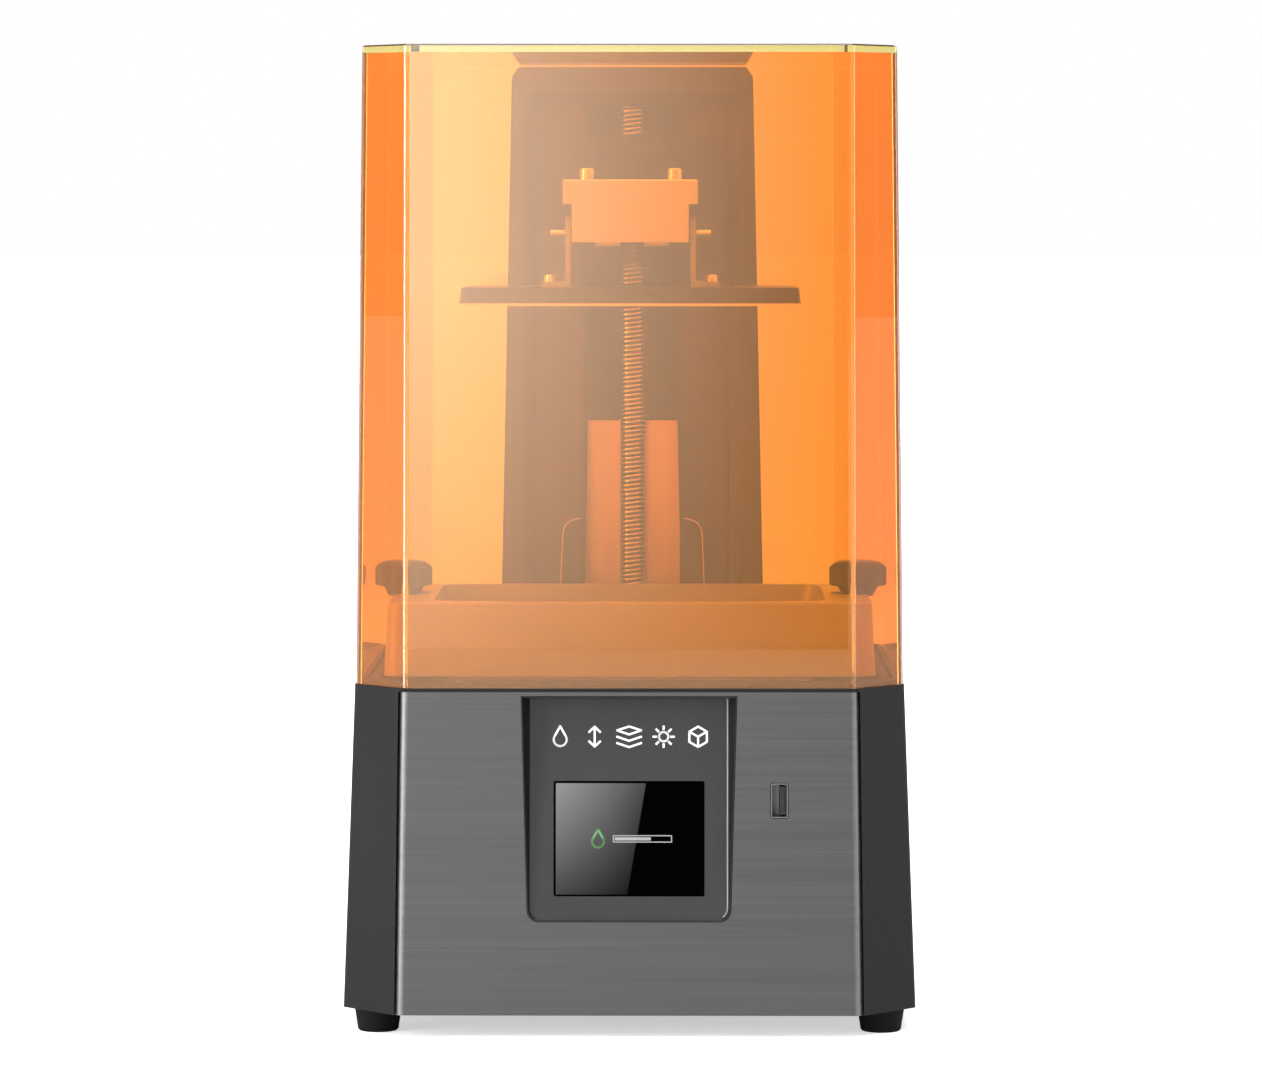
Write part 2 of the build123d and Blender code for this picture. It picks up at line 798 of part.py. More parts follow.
grille_plane = exhaust_plane.offset(fan_thickness + housing_wall)
fan_screw_head = 2.8
fan_screw_head_height = 1.6
fan_screw_radius = 1.5
with BuildPart() as exhaust_fan_screws:
    with BuildSketch(grille_plane):
        with GridLocations(exhaust_screws, exhaust_screws, 2, 2):
            Circle(fan_screw_head)
    extrude(amount=fan_screw_head_height, taper=12)
    with BuildSketch(grille_plane):
        with GridLocations(exhaust_screws, exhaust_screws, 2, 2):
            Circle(fan_screw_radius)
    extrude(amount=-fan_thickness - housing_wall)
exhaust_fan_screws.part.label = "exhaust_fan_screws"
export_step(exhaust_fan_screws.part, "parts/exhaust_fan_screws.step")

jack_plane = Plane(
    origin=rear_plane.from_local_coords((-jack_x, along_wall(jack_z), 0)),
    x_dir=(-1, 0, 0),
    z_dir=rear_plane.z_dir,
)
with BuildPart() as power_jack:
    with BuildSketch(jack_plane):
        Circle(jack_flange_radius)
    extrude(amount=jack_flange_height)
    with BuildSketch(jack_plane):
        Circle(jack_barrel_radius)
    extrude(amount=-jack_depth)
    with BuildSketch(jack_plane.offset(jack_flange_height)):
        Circle(jack_socket_radius)
    extrude(amount=-jack_socket_depth, mode=Mode.SUBTRACT)
power_jack.part.label = "power_jack"
export_step(power_jack.part, "parts/power_jack.step")

switch_plane = Plane(
    origin=rear_plane.from_local_coords((-switch_x, along_wall(switch_z), 0)),
    x_dir=(-1, 0, 0),
    z_dir=rear_plane.z_dir,
)
pivot_depth = 3.2
pivot_point = switch_plane.from_local_coords((0, 0, -pivot_depth))
pivot_plane = Plane(pivot_point, x_dir=(-1, 0, 0), z_dir=rear_plane.z_dir)
switch_flange_width = 16.0
switch_flange_height = 22.5
switch_flange_thickness = 1.5
switch_body_width = 13.2
switch_body_height = 19.6
switch_body_depth = 16.0
switch_well_width = 11.4
switch_well_height = 17.8
switch_well_depth = 8.0
pivot_radius = 0.8
with BuildPart() as switch_frame:
    flange_outline = rounded_rectangle(switch_plane, switch_flange_width, switch_flange_height, 1.5)
    extrude(flange_outline, amount=switch_flange_thickness)
    extrude(
        rounded_rectangle(switch_plane, switch_body_width, switch_body_height, 0.5),
        amount=-switch_body_depth,
    )
    well_plane = switch_plane.offset(switch_flange_thickness)
    extrude(
        rounded_rectangle(well_plane, switch_well_width, switch_well_height, 0.4),
        amount=-switch_flange_thickness - switch_well_depth,
        mode=Mode.SUBTRACT,
    )
    # Pivot holes in both side walls.
    cross_plane = Plane(pivot_plane.origin, x_dir=rear_plane.z_dir, z_dir=(-1, 0, 0))
    pivot_hole_half = 6.4
    with BuildSketch(cross_plane.offset(-pivot_hole_half)):
        Circle(pivot_radius + running_clearance)
    extrude(amount=2 * pivot_hole_half, mode=Mode.SUBTRACT)
switch_frame.part.label = "switch_frame"
export_step(switch_frame.part, "parts/switch_frame.step")

tilt = math.radians(rocker_angle)
rocker_normal = rear_plane.z_dir * math.cos(tilt) - rear_plane.y_dir * math.sin(tilt)
rocker_side = Plane(pivot_plane.origin, x_dir=rocker_normal, z_dir=(-1, 0, 0))
rocker_half = 8.3
rocker_rim = 4.2
rocker_dip = 2.9
rocker_back = 0.8
rocker_keel = -2.6
rocker_half_width = 5.5
pivot_half = 6.1
with BuildPart() as power_rocker:
    with BuildSketch(rocker_side.offset(-rocker_half_width)):
        with BuildLine():
            Polyline(
                (rocker_rim, rocker_half),
                (rocker_back, rocker_half),
                (rocker_keel, 0),
                (rocker_back, -rocker_half),
                (rocker_rim, -rocker_half),
                (rocker_dip, 0),
                close=True,
            )
        make_face()
    extrude(amount=2 * rocker_half_width)
    with BuildSketch(rocker_side.offset(-pivot_half)):
        Circle(pivot_radius)
    extrude(amount=2 * pivot_half)
power_rocker.part.label = "power_rocker"
export_step(power_rocker.part, "parts/power_rocker.step")

# ---------------------------------------------------------------- cover
roof_z = cover_top - cover_roof
roof_bevel = 0.7
with BuildPart() as cover_shell:
    loft(sections=[cover_outline(cover_bottom), cover_outline(cover_top - roof_bevel)])
    loft(sections=[cover_outline(cover_top - roof_bevel), cover_outline(cover_top, roof_bevel)])
    inner_radius = cover_edge_radius - cover_wall
    loft(
        sections=[
            cover_outline(cover_bottom, cover_wall, inner_radius),
            cover_outline(roof_z, cover_wall, inner_radius),
        ],
        mode=Mode.SUBTRACT,
    )
cover_shell.part.label = "cover_shell"
export_step(cover_shell.part, "parts/cover_shell.step")

# ---------------------------------------------------------------- vat
vat_bevel = 0.8
vat_top_width = vat_width - 1.0
vat_bottom_corner = 7.0
vat_top_corner = 6.0
rim_length = vat_top_length - 2 * vat_bevel
rim_width = vat_top_width - 2 * vat_bevel
rim_corner = vat_top_corner - vat_bevel
rebate_gap = 0.3
rebate_corner = 4.0
rebate_depth = 2.4
stud_slot_radius = 3.4
knob_pocket_radius = 11.0
pocket_cut = 8.0
slot_run = 20.0
with BuildPart() as vat_body:
    bevel_outline = rounded_rectangle(
        vat_plane(vat_top - vat_bevel), vat_top_length, vat_top_width, vat_top_corner
    )
    loft(
        sections=[
            rounded_rectangle(vat_plane(vat_bottom), vat_bottom_length, vat_width, vat_bottom_corner),
            bevel_outline,
        ]
    )
    loft(
        sections=[
            bevel_outline,
            rounded_rectangle(vat_plane(vat_top), rim_length, rim_width, rim_corner),
        ]
    )
    loft(
        sections=[
            rounded_rectangle(vat_plane(vat_bottom), well_bottom_length, well_bottom_width, 6),
            rounded_rectangle(vat_plane(vat_top), well_top_length, well_top_width, 9),
        ],
        mode=Mode.SUBTRACT,
    )
    # Rebate for the film frame, and at each end a shelf and an open slot for the clamping stud.
    rebate_length = film_frame_length + 2 * rebate_gap
    rebate_width = film_frame_width + 2 * rebate_gap
    extrude(
        rounded_rectangle(vat_plane(vat_bottom), rebate_length, rebate_width, rebate_corner),
        amount=rebate_depth,
        mode=Mode.SUBTRACT,
    )
    with BuildSketch(vat_plane(knob_shelf)):
        with GridLocations(2 * knob_x, 0, 2, 1):
            Circle(knob_pocket_radius)
    extrude(amount=pocket_cut, mode=Mode.SUBTRACT)
    with BuildSketch(vat_plane(vat_bottom)):
        with GridLocations(2 * knob_x, 0, 2, 1):
            Circle(stud_slot_radius)
        with GridLocations(2 * knob_x + slot_run, 0, 2, 1):
            Rectangle(slot_run, 2 * stud_slot_radius)
    extrude(amount=vat_top - vat_bottom, mode=Mode.SUBTRACT)
vat_body.part.label = "vat_body"
export_step(vat_body.part, "parts/vat_body.step")

film_top = film_bottom + film_thickness
frame_top = vat_bottom + rebate_depth
film_screw_radius = 1.5
film_screw_column = film_frame_length - 7.0
film_screw_row = film_frame_width - 6.0
film_screw_side_pitch = (film_frame_width - 14.0) / 3
film_screw_row_pitch = 36.0
with BuildPart() as film_frame:
    extrude(
        rounded_rectangle(vat_plane(film_top), film_frame_length, film_frame_width, rebate_corner),
        amount=frame_top - film_top,
    )
    extrude(
        rounded_rectangle(vat_plane(film_top), well_bottom_length + 0.6, well_bottom_width + 0.6, 6),
        amount=frame_top - film_top,
        mode=Mode.SUBTRACT,
    )
    with BuildSketch(vat_plane(film_top)):
        with GridLocations(film_screw_column, film_screw_side_pitch, 2, 4):
            Circle(film_screw_radius)
        with GridLocations(film_screw_row_pitch, film_screw_row, 4, 2):
            Circle(film_screw_radius)
    extrude(amount=frame_top - film_top, mode=Mode.SUBTRACT)
film_frame.part.label = "film_frame"
export_step(film_frame.part, "parts/film_frame.step")

with BuildPart() as release_film:
    extrude(
        rounded_rectangle(vat_plane(film_bottom), well_bottom_length + 3, well_bottom_width + 3, 7),
        amount=film_thickness,
    )
release_film.part.label = "release_film"
export_step(release_film.part, "parts/release_film.step")

with BuildPart() as film_screws:
    with BuildSketch(vat_plane(film_top)):
        with GridLocations(film_screw_column, film_screw_side_pitch, 2, 4):
            Circle(film_screw_radius)
        with GridLocations(film_screw_row_pitch, film_screw_row, 4, 2):
            Circle(film_screw_radius)
    extrude(amount=frame_top - film_top)
film_screws.part.label = "film_screws"
export_step(film_screws.part, "parts/film_screws.step")

rail_inner = 76.5
rail_outer = 103.5
rail_depth = 117.0
rail_cut_length = film_frame_length + 1.2
rail_cut_width = film_frame_width + 1.2
rail_stud_hole = 3.6
with BuildPart() as vat_rails:
    with BuildSketch(Plane((0, vat_y, deck_top))):
        with GridLocations(rail_inner + rail_outer, 0, 2, 1):
            Rectangle(rail_outer - rail_inner, rail_depth)
        Rectangle(rail_cut_length, rail_cut_width, mode=Mode.SUBTRACT)
        with GridLocations(2 * knob_x, 0, 2, 1):
            Circle(rail_stud_hole, mode=Mode.SUBTRACT)
    extrude(amount=vat_bottom - deck_top)
vat_rails.part.label = "vat_rails"
export_step(vat_rails.part, "parts/vat_rails.step")

# Thumb knobs clamp the vat. A loose cone under each one rises with it but doesn't turn.
knob_stud_end = 138.0
collar_bottom = 176.4
collar_top = 180.7
knob_top = 191.3
knob_radius = 11.7
collar_bottom_radius = 6.0
collar_top_radius = 8.4
knob_edge = 0.8
knob_flutes = 8
flute_radius = 2.9
flute_offset = 1.2
washer_gap = 0.2
washer_radius = 6.0
for side, side_x in (("left", -knob_x), ("right", knob_x)):
    knob_plane = Plane((side_x, vat_y, 0), x_dir=(1, 0, 0), z_dir=(0, -1, 0))
    knob_axis = Axis((side_x, vat_y, 0), (0, 0, 1))
    with BuildPart() as knob:
        with BuildSketch(knob_plane):
            with BuildLine():
                Polyline(
                    (0, knob_top),
                    (0, knob_stud_end),
                    (stud_radius, knob_stud_end),
                    (stud_radius, collar_bottom),
                    (collar_bottom_radius, collar_bottom),
                    (collar_top_radius, collar_top),
                    (knob_radius - knob_edge, collar_top),
                    (knob_radius, collar_top + knob_edge),
                    (knob_radius, knob_top - 3.0),
                )
                ThreePointArc(
                    (knob_radius, knob_top - 3.0),
                    (knob_radius - 2.4, knob_top - 0.9),
                    (knob_radius - 6.0, knob_top),
                )
                Line((knob_radius - 6.0, knob_top), (0, knob_top))
            make_face()
        revolve(axis=knob_axis)
        with BuildSketch(Plane((side_x, vat_y, collar_top))):
            with PolarLocations(knob_radius + flute_offset, knob_flutes, start_angle=180 / knob_flutes):
                Circle(flute_radius)
        extrude(amount=knob_top - collar_top, mode=Mode.SUBTRACT)
    knob.part.label = f"knob_{side}"
    export_step(knob.part, f"parts/knob_{side}.step")

    with BuildPart() as washer:
        with BuildSketch(Plane((side_x, vat_y, knob_shelf))):
            Circle(washer_radius)
        extrude(amount=collar_bottom - washer_gap - knob_shelf, taper=38)
        with BuildSketch(Plane((side_x, vat_y, knob_shelf))):
            Circle(stud_radius + running_clearance)
        extrude(amount=collar_bottom - knob_shelf, mode=Mode.SUBTRACT)
    washer.part.label = f"washer_{side}"
    export_step(washer.part, f"parts/washer_{side}.step")

# ---------------------------------------------------------------- Z column


def column_outline(plane, inset):
    """The column's front view: tapered sides and cut top corners."""
    with BuildSketch(plane) as outline:
        with BuildLine():
            Polyline(
                (-column_bottom_half + inset, deck_top),
                (column_bottom_half - inset, deck_top),
                (column_shoulder_half - inset, column_shoulder_z - inset / 2),
                (column_top_half - inset / 2, column_top_z - inset),
                (-column_top_half + inset / 2, column_top_z - inset),
                (-column_shoulder_half + inset, column_shoulder_z - inset / 2),
                close=True,
            )
        make_face()
    return outline.sketch


def upright_plane(y):
    """A plane that faces the front, at this depth, with heights as its local y."""
    return Plane((0, y, 0), x_dir=(1, 0, 0), z_dir=(0, -1, 0))


def recess_outline(y, half, top, radius):
    """The column's front recess at one depth, open at its lower end."""
    with BuildSketch(upright_plane(y)) as outline:
        with Locations((0, (top + recess_foot) / 2)):
            Rectangle(2 * half, top - recess_foot)
        fillet(outline.vertices().group_by(Axis.Y)[-1], radius)
    return outline.sketch


floor_sheet = 2.0
with BuildPart() as column_cover:
    extrude(column_outline(upright_plane(column_front), 0), amount=column_front - column_back_y)
    extrude(
        column_outline(upright_plane(column_front + column_wall), column_wall),
        amount=column_front - column_back_y,
        mode=Mode.SUBTRACT,
    )
    # A thicker front carries the recess, its bevelled rim and the channel for the screw.
    with BuildSketch(upright_plane(column_front)):
        with Locations((0, (deck_top + column_shoulder_z) / 2)):
            Rectangle(2 * (column_shoulder_half - column_wall - 0.2), column_shoulder_z - deck_top)
    extrude(amount=column_front - recess_floor - floor_sheet)
    loft(
        sections=[
            recess_outline(column_front, mouth_half, mouth_top, mouth_corner),
            recess_outline(recess_floor, recess_half, recess_top, recess_corner),
        ],
        mode=Mode.SUBTRACT,
    )
    with BuildSketch(upright_plane(recess_floor)):
        with Locations((0, (recess_top + recess_foot) / 2)):
            Rectangle(2 * channel_half, recess_top - recess_foot)
    extrude(amount=-floor_sheet, mode=Mode.SUBTRACT)
column_cover.part.label = "column_cover"
export_step(column_cover.part, "parts/column_cover.step")

with BuildPart() as column_back:
    extrude(column_outline(upright_plane(column_back_y), 0), amount=-column_wall)
column_back.part.label = "column_back"
export_step(column_back.part, "parts/column_back.step")

frame_front = 92.0
rib_front = 84.0
rib_width = 28.0
frame_sheet = 4.0
frame_sheet_width = 96.0
rod_depth = 8.0
clamp_top_bottom = 388.0
clamp_top_top = 398.0
clamp_low_top = 156.0
with BuildPart() as z_frame:
    with BuildSketch(upright_plane(frame_front)):
        with Locations((0, (deck_top + clamp_top_top) / 2)):
            Rectangle(frame_sheet_width, clamp_top_top - deck_top)
    extrude(amount=-frame_sheet)
    with BuildSketch(upright_plane(rib_front)):
        with Locations((0, (clamp_low_top + clamp_top_bottom) / 2)):
            Rectangle(rib_width, clamp_top_bottom - clamp_low_top)
    extrude(amount=rib_front - frame_front)
z_frame.part.label = "z_frame"
export_step(z_frame.part, "parts/z_frame.step")

clamp_front = 68.2
clamp_half = 42.0
bearing_bottom = 389.0
bearing_top = 394.0
bearing_radius = 5.0
with BuildPart() as rod_clamp_top:
    with BuildSketch(Plane((0, (clamp_front + frame_front) / 2, clamp_top_bottom))):
        Rectangle(2 * clamp_half, frame_front - clamp_front)
    extrude(amount=clamp_top_top - clamp_top_bottom)
    with BuildSketch(Plane((0, rod_y, clamp_top_bottom))):
        with GridLocations(2 * rod_x, 0, 2, 1):
            Circle(rod_radius)
    extrude(amount=rod_depth, mode=Mode.SUBTRACT)
    with BuildSketch(Plane((0, axis_y, clamp_top_bottom))):
        Circle(bearing_radius)
    extrude(amount=clamp_top_top - clamp_top_bottom, mode=Mode.SUBTRACT)
rod_clamp_top.part.label = "rod_clamp_top"
export_step(rod_clamp_top.part, "parts/rod_clamp_top.step")

with BuildPart() as top_bearing:
    with BuildSketch(Plane((0, axis_y, bearing_bottom))):
        Circle(bearing_radius)
        Circle(journal_radius + running_clearance, mode=Mode.SUBTRACT)
    extrude(amount=bearing_top - bearing_bottom)
top_bearing.part.label = "top_bearing"
export_step(top_bearing.part, "parts/top_bearing.step")

rod_bottom = 146.0
with BuildPart() as rod_clamp_bottom:
    with BuildSketch(Plane((0, (clamp_front + frame_front) / 2, deck_top))):
        Rectangle(2 * clamp_half, frame_front - clamp_front)
        with Locations((0, axis_y - (clamp_front + frame_front) / 2)):
            Circle(screw_way, mode=Mode.SUBTRACT)
    extrude(amount=clamp_low_top - deck_top)
    with BuildSketch(Plane((0, rod_y, rod_bottom))):
        with GridLocations(2 * rod_x, 0, 2, 1):
            Circle(rod_radius)
    extrude(amount=clamp_low_top - rod_bottom, mode=Mode.SUBTRACT)
rod_clamp_bottom.part.label = "rod_clamp_bottom"
export_step(rod_clamp_bottom.part, "parts/rod_clamp_bottom.step")

with BuildPart() as guide_rods:
    with BuildSketch(Plane((0, rod_y, rod_bottom))):
        with GridLocations(2 * rod_x, 0, 2, 1):
            Circle(rod_radius)
    extrude(amount=clamp_top_bottom + rod_depth - rod_bottom)
guide_rods.part.label = "guide_rods"
export_step(guide_rods.part, "parts/guide_rods.step")

guard_top = 247.0
guard_front = 82.3
guard_foot_half = 21.9
guard_top_half = 20.0
with BuildPart() as screw_guard:
    guard_plane = upright_plane(guard_front)
    extrude(
        tapered_outline(guard_plane, clamp_low_top, guard_top, guard_foot_half, guard_top_half),
        amount=guard_front - rib_front,
    )
screw_guard.part.label = "screw_guard"
export_step(screw_guard.part, "parts/screw_guard.step")

skirt_front = 61.6
skirt_slot_half = 21.0
skirt_neck_half = 22.8
skirt_foot_half = 33.5
skirt_shoulder_half = 31.0
shoulder_z = 202.0
shoulder_rise = 2.0
shoulder_radius = 4.0
skirt_slot_foot = 158.0
with BuildPart() as channel_skirt:
    with BuildSketch(upright_plane(skirt_front)) as skirt_outline:
        with BuildLine():
            Polyline(
                (-skirt_foot_half, deck_top),
                (skirt_foot_half, deck_top),
                (skirt_shoulder_half, shoulder_z),
                (skirt_neck_half, shoulder_z + shoulder_rise),
                (skirt_neck_half, guard_top),
                (-skirt_neck_half, guard_top),
                (-skirt_neck_half, shoulder_z + shoulder_rise),
                (-skirt_shoulder_half, shoulder_z),
                close=True,
            )
        make_face()
        shoulders = skirt_outline.vertices().filter_by_position(Axis.Y, shoulder_z - 1, shoulder_z + 3)
        fillet(shoulders, shoulder_radius)
        with Locations((0, (guard_top + skirt_slot_foot) / 2)):
            Rectangle(2 * skirt_slot_half, guard_top - skirt_slot_foot, mode=Mode.SUBTRACT)
    extrude(amount=skirt_front - recess_floor)
channel_skirt.part.label = "channel_skirt"
export_step(channel_skirt.part, "parts/channel_skirt.step")

with BuildPart() as z_motor:
    with BuildSketch(Plane((0, axis_y, motor_bottom))) as motor_outline:
        Rectangle(motor_size, motor_size)
        chamfer(motor_outline.vertices(), 4)
    extrude(amount=motor_top - motor_bottom)
    with BuildSketch(Plane((0, axis_y, motor_top))):
        Circle(11)
    extrude(amount=2)
    with BuildSketch(Plane((0, axis_y, motor_top - 20))):
        Circle(journal_radius + running_clearance)
    extrude(amount=22, mode=Mode.SUBTRACT)
z_motor.part.label = "z_motor"
export_step(z_motor.part, "parts/z_motor.step")

with BuildPart() as motor_bracket:
    with BuildSketch(Plane((0, axis_y, motor_top))):
        Rectangle(60, 46)
    extrude(amount=deck_bottom - motor_top)
    with BuildSketch(Plane((0, axis_y, motor_top + 3))):
        Rectangle(55, 50)
    extrude(amount=30, mode=Mode.SUBTRACT)
    with BuildSketch(Plane((0, axis_y, motor_top))):
        Circle(11)
    extrude(amount=3, mode=Mode.SUBTRACT)
motor_bracket.part.label = "motor_bracket"
export_step(motor_bracket.part, "parts/motor_bracket.step")

screw_bottom = 128.0
screw_top = clamp_top_bottom - 0.5
with BuildPart() as lead_screw:
    with BuildSketch(Plane((0, axis_y, screw_bottom))):
        Circle(screw_radius)
    extrude(amount=screw_top - screw_bottom)
    with BuildSketch(Plane((0, axis_y, motor_top - 19))):
        Circle(journal_radius)
    extrude(amount=bearing_top + 1 - motor_top + 19)
lead_screw.part.label = "lead_screw"
export_step(lead_screw.part, "parts/lead_screw.step")

# ---------------------------------------------------------------- carriage and platform
nut_bottom = 342.0
nut_radius = 7.5
bushing_radius = 7.5
bushing_bottom = 322.0
bushing_top = 366.0
arm_root = 52.0
carriage_back = 81.0
with BuildPart() as carriage_block:
    with BuildSketch(Plane((0, 0, carriage_bottom))):
        with Locations((0, (arm_root + 61) / 2)):
            Rectangle(46, 61 - arm_root)
        with Locations((0, (61 + carriage_back) / 2)):
            Rectangle(41, carriage_back - 61)
    extrude(amount=carriage_top - carriage_bottom)
    # Wings behind the column's front reach the guide rods.
    with BuildSketch(Plane((0, 0, bushing_bottom))):
        with Locations((0, 75)):
            Rectangle(50, 6)
        with Locations((0, rod_y)):
            with GridLocations(2 * rod_x, 0, 2, 1):
                Circle(9.5)
    extrude(amount=bushing_top - bushing_bottom)
    with BuildSketch(Plane((0, rod_y, bushing_bottom))):
        with GridLocations(2 * rod_x, 0, 2, 1):
            Circle(bushing_radius)
    extrude(amount=bushing_top - bushing_bottom, mode=Mode.SUBTRACT)
    # Way for the screw, open at the back, a seat for its nut and a notch in front of it.
    with BuildSketch(Plane((0, axis_y, carriage_bottom))):
        Circle(6.8)
        with Locations((0, 5)):
            Rectangle(13.6, 10)
    extrude(amount=carriage_top - carriage_bottom, mode=Mode.SUBTRACT)
    with BuildSketch(Plane((0, axis_y, nut_bottom))):
        Circle(nut_radius)
    extrude(amount=carriage_top - nut_bottom, mode=Mode.SUBTRACT)
    with BuildSketch(Plane((0, (arm_root + axis_y) / 2, carriage_bottom))):
        Rectangle(6.2, axis_y - arm_root)
    extrude(amount=12, mode=Mode.SUBTRACT)
carriage_block.part.label = "carriage_block"
export_step(carriage_block.part, "parts/carriage_block.step")

with BuildPart() as guide_bushings:
    with BuildSketch(Plane((0, rod_y, bushing_bottom))):
        with GridLocations(2 * rod_x, 0, 2, 1):
            Circle(bushing_radius)
            Circle(rod_radius + running_clearance, mode=Mode.SUBTRACT)
    extrude(amount=bushing_top - bushing_bottom)
guide_bushings.part.label = "guide_bushings"
export_step(guide_bushings.part, "parts/guide_bushings.step")

with BuildPart() as lead_nut:
    with BuildSketch(Plane((0, axis_y, nut_bottom))):
        Circle(nut_radius)
        Circle(screw_radius + running_clearance, mode=Mode.SUBTRACT)
    extrude(amount=carriage_top - nut_bottom)
lead_nut.part.label = "lead_nut"
export_step(lead_nut.part, "parts/lead_nut.step")

arm_half = 16.0
arm_bottom = 333.0
arm_top = 349.0
gusset_bottom = 325.0
with BuildPart() as cantilever_arm:
    with BuildSketch(Plane((0, (mount_back + arm_root) / 2, arm_bottom))):
        Rectangle(2 * arm_half, arm_root - mount_back)
    extrude(amount=arm_top - arm_bottom)
    # Two gussets under the arm's root stand either side of the screw.
    with BuildSketch(Plane((0, 44, arm_bottom))):
        with GridLocations(21.3, 0, 2, 1):
            Rectangle(10.7, 16)
    extrude(amount=gusset_bottom - arm_bottom)
    fillet(cantilever_arm.edges().filter_by(Axis.Y).group_by(Axis.Z)[-1], 1.2)
cantilever_arm.part.label = "cantilever_arm"
export_step(cantilever_arm.part, "parts/cantilever_arm.step")

mount_y = (mount_front + mount_back) / 2
side_screw_z = 330.7
side_screw_end = 33.9
side_screw_radius = 1.4
side_screw_plane = Plane((0, vat_y, side_screw_z), x_dir=(0, 1, 0), z_dir=(1, 0, 0))
with BuildPart() as platform_mount:
    with BuildSketch(Plane((0, mount_y, mount_bottom))):
        Rectangle(2 * mount_lower_half, mount_back - mount_front)
    extrude(amount=mount_step - mount_bottom)
    with BuildSketch(Plane((0, mount_y, mount_step))):
        Rectangle(2 * mount_upper_half, mount_back - mount_front)
    extrude(amount=mount_top - mount_step)
    chamfer(platform_mount.faces().sort_by(Axis.Z)[-1].edges(), 0.6)
    with BuildSketch(vat_plane(mount_top)):
        with GridLocations(2 * 18.6, 0, 2, 1):
            Circle(2.0)
    extrude(amount=-14, mode=Mode.SUBTRACT)
    with BuildSketch(side_screw_plane.offset(-mount_lower_half)):
        with GridLocations(16, 0, 2, 1):
            Circle(side_screw_radius)
    extrude(amount=6, mode=Mode.SUBTRACT)
    with BuildSketch(side_screw_plane.offset(mount_lower_half)):
        with GridLocations(16, 0, 2, 1):
            Circle(side_screw_radius)
    extrude(amount=-6, mode=Mode.SUBTRACT)
platform_mount.part.label = "platform_mount"
export_step(platform_mount.part, "parts/platform_mount.step")

with BuildPart() as mount_screws:
    with BuildSketch(vat_plane(mount_top)):
        with GridLocations(2 * 18.6, 0, 2, 1):
            Circle(3.0)
    extrude(amount=5)
    chamfer(mount_screws.edges().group_by(Axis.Z)[-1], 0.4)
    with BuildSketch(vat_plane(mount_top)):
        with GridLocations(2 * 18.6, 0, 2, 1):
            Circle(2.0)
    extrude(amount=-14)
    with BuildSketch(vat_plane(mount_top + 5)):
        with GridLocations(2 * 18.6, 0, 2, 1):
            RegularPolygon(1.7, 6)
    extrude(amount=-2.6, mode=Mode.SUBTRACT)
mount_screws.part.label = "mount_screws"
export_step(mount_screws.part, "parts/mount_screws.step")

with BuildPart() as level_screws:
    for direction in (-1, 1):
        screw_start = side_screw_plane.offset(direction * (mount_lower_half - 6))
        with BuildSketch(screw_start):
            with GridLocations(16, 0, 2, 1):
                Circle(side_screw_radius)
        extrude(amount=direction * (side_screw_end - mount_lower_half + 6))
level_screws.part.label = "level_screws"
export_step(level_screws.part, "parts/level_screws.step")

flange_outer = 37.7
flange_screw_x = 34.0
leg_top = 338.75
with BuildPart() as plate_brackets:
    with BuildSketch(Plane((0, vat_y + bracket_depth / 2, 0), x_dir=(1, 0, 0), z_dir=(0, -1, 0))):
        for direction in (-1, 1):
            with BuildLine():
                Polyline(
                    (direction * bracket_inner, plate_top),
                    (direction * flange_outer, plate_top),
                    (direction * flange_outer, plate_top + bracket_sheet),
                    (direction * (bracket_inner + bracket_sheet), plate_top + bracket_sheet),
                    (direction * (bracket_inner + bracket_sheet), leg_top),
                    (direction * bracket_inner, leg_top),
                    close=True,
                )
            make_face()
    extrude(amount=bracket_depth)
    fillet(plate_brackets.edges().filter_by(Axis.X).group_by(Axis.Z)[-1], 3)
    inner_bends = plate_brackets.edges().filter_by(Axis.Y).group_by(Axis.Z)[1]
    fillet(inner_bends.sort_by(lambda edge: abs(edge.center().X))[:2], 1.5)
    # Upright slots let the plate move against the levelling screws.
    with BuildSketch(side_screw_plane.offset(-40)):
        with GridLocations(16, 0, 2, 1):
            SlotOverall(7.0, 3.5, rotation=90)
    extrude(amount=80, mode=Mode.SUBTRACT)
    with BuildSketch(vat_plane(plate_top)):
        with GridLocations(2 * flange_screw_x, 18, 2, 2):
            Circle(1.6)
    extrude(amount=bracket_sheet, mode=Mode.SUBTRACT)
plate_brackets.part.label = "plate_brackets"
export_step(plate_brackets.part, "parts/plate_brackets.step")

with BuildPart() as build_plate:
    plate_outline = rounded_rectangle(vat_plane(plate_bottom), plate_length, plate_width, plate_corner)
    extrude(plate_outline, amount=plate_face - plate_bottom)
    loft(
        sections=[
            rounded_rectangle(vat_plane(plate_face), plate_length - 0.6, plate_width - 0.6, 1.8),
            rounded_rectangle(vat_plane(plate_top), plate_length - 1.8, plate_width - 1.8, 1.5),
        ]
    )
    with BuildSketch(vat_plane(plate_top)):
        with GridLocations(2 * flange_screw_x, 18, 2, 2):
            Circle(1.5)
    extrude(amount=-4, mode=Mode.SUBTRACT)
build_plate.part.label = "build_plate"
export_step(build_plate.part, "parts/build_plate.step")

